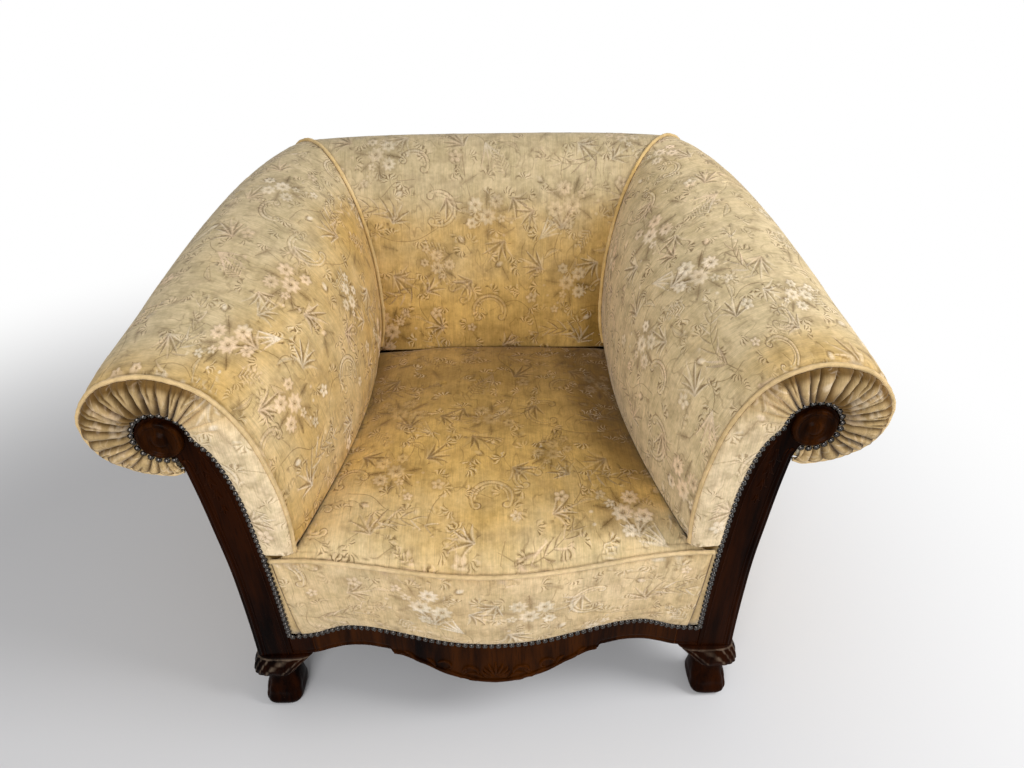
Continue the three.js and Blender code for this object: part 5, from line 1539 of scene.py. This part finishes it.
for side, hand in SIDES:
    copied(f"{hand}_rear_leg_post", f"{hand}_rear_post", round_edges, "mahogany")
for side, hand in SIDES:
    tacked(f"{hand}_arm_hessian_cloth", f"{hand}_arm_hessian", "hessian", (side, 0, 0))
tacked("back_hessian_cloth", "back_hessian", "hessian", (0, 1, 0))
tacked("seat_hessian_cloth", "seat_hessian", "hessian", (0, 0, 1))
tacked("dust_cloth", "bottom_cloth", "black_cotton", (0, 0, 1))
for node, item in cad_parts.items():
    if not item.hide_render:
        item.data.materials.clear()
        item.data.materials.append(LOOK["spring_steel" if "spring_row" in node else "beech"])


# Floor, light and camera


def background_rays(tree):
    """1 for the rays that show the background as it is: camera, glossy and transmission."""
    ray = tree.nodes.new("ShaderNodeLightPath")
    seen = ray.outputs["Is Camera Ray"]
    for kind in ("Is Glossy Ray", "Is Transmission Ray"):
        joined = tree.nodes.new("ShaderNodeMath")
        joined.operation = "MAXIMUM"
        tree.links.new(seen, joined.inputs[0])
        tree.links.new(ray.outputs[kind], joined.inputs[1])
        seen = joined.outputs[0]
    return seen


def studio_white(name):
    """A floor that keeps the chair's shadow near it and turns plain white further off."""
    t = Tree(name)
    seen = background_rays(t.tree)
    away = t.node("ShaderNodeVectorMath", operation="LENGTH", Vector=t.place()).outputs["Value"]
    glow = t.node("ShaderNodeEmission", Color=(1, 1, 1, 1), Strength=1.0).outputs[0]
    t.finish(Base_Color=t.mix(seen, rgb(200, 200, 200), rgb(208, 208, 210)), Roughness=.9,
             Specular_IOR_Level=0.0)
    blend = t.node("ShaderNodeMixShader", t.times(seen, t.ramp(away, .75, 2.0)), t.shader.outputs[0], glow)
    t.tree.links.new(blend.outputs[0], t.tree.nodes["Material Output"].inputs[0])
    return t.material


bpy.ops.mesh.primitive_plane_add(size=60, location=(-.45, -.35, -.0005))
floor = bpy.context.object
floor.name = "studio_floor"
floor.data.materials.append(studio_white("floor_white"))

world = bpy.data.worlds.new("studio")
bpy.context.scene.world = world
world.use_nodes = True
background = world.node_tree.nodes["Background"]
background.inputs[0].default_value = (1, 1, 1, 1)
level = world.node_tree.nodes.new("ShaderNodeMapRange")
level.inputs["To Min"].default_value = .44
world.node_tree.links.new(background_rays(world.node_tree), level.inputs["Value"])
world.node_tree.links.new(level.outputs[0], background.inputs[1])


def lamp(name, place, aim, size, power):
    data = bpy.data.lights.new(name, "AREA")
    data.shape = "DISK"
    data.size, data.energy = size, power
    made = bpy.data.objects.new(name, data)
    made.location = place
    made.rotation_euler = (Vector(aim) - Vector(place)).to_track_quat("-Z", "Y").to_euler()
    bpy.context.scene.collection.objects.link(made)


lamp("front_light", (-.55, -2.8, 1.75), (0, 0, .4), 1.6, 54)
lamp("side_light", (2.1, -.6, 2.0), (0, 0, .3), 1.2, 46)

YAW, PITCH, ROLL = (math.radians(a) for a in (.95, 34.5, -.5))
FOCAL, PHOTO_WIDTH, SENSOR = 735.0, 1024, 36
CAMERA_PLACE = (.0185, -.78 + FRONT_Y, 1.206)
ahead = Vector((math.sin(YAW) * math.cos(PITCH), math.cos(YAW) * math.cos(PITCH), -math.sin(PITCH)))
across = Vector((math.cos(YAW), -math.sin(YAW), 0))
upward = across.cross(ahead)
right = across * math.cos(ROLL) + upward * math.sin(ROLL)
up = upward * math.cos(ROLL) - across * math.sin(ROLL)
data = bpy.data.cameras.new("photo_view")
data.sensor_width = SENSOR
data.lens = FOCAL * SENSOR / PHOTO_WIDTH
data.clip_end = 100
camera = bpy.data.objects.new("photo_view", data)
turn = Matrix((right, up, -ahead)).transposed().to_4x4()
camera.matrix_world = Matrix.Translation(CAMERA_PLACE) @ turn
bpy.context.scene.collection.objects.link(camera)
bpy.context.scene.camera = camera
bpy.context.scene.view_settings.view_transform = "Standard"
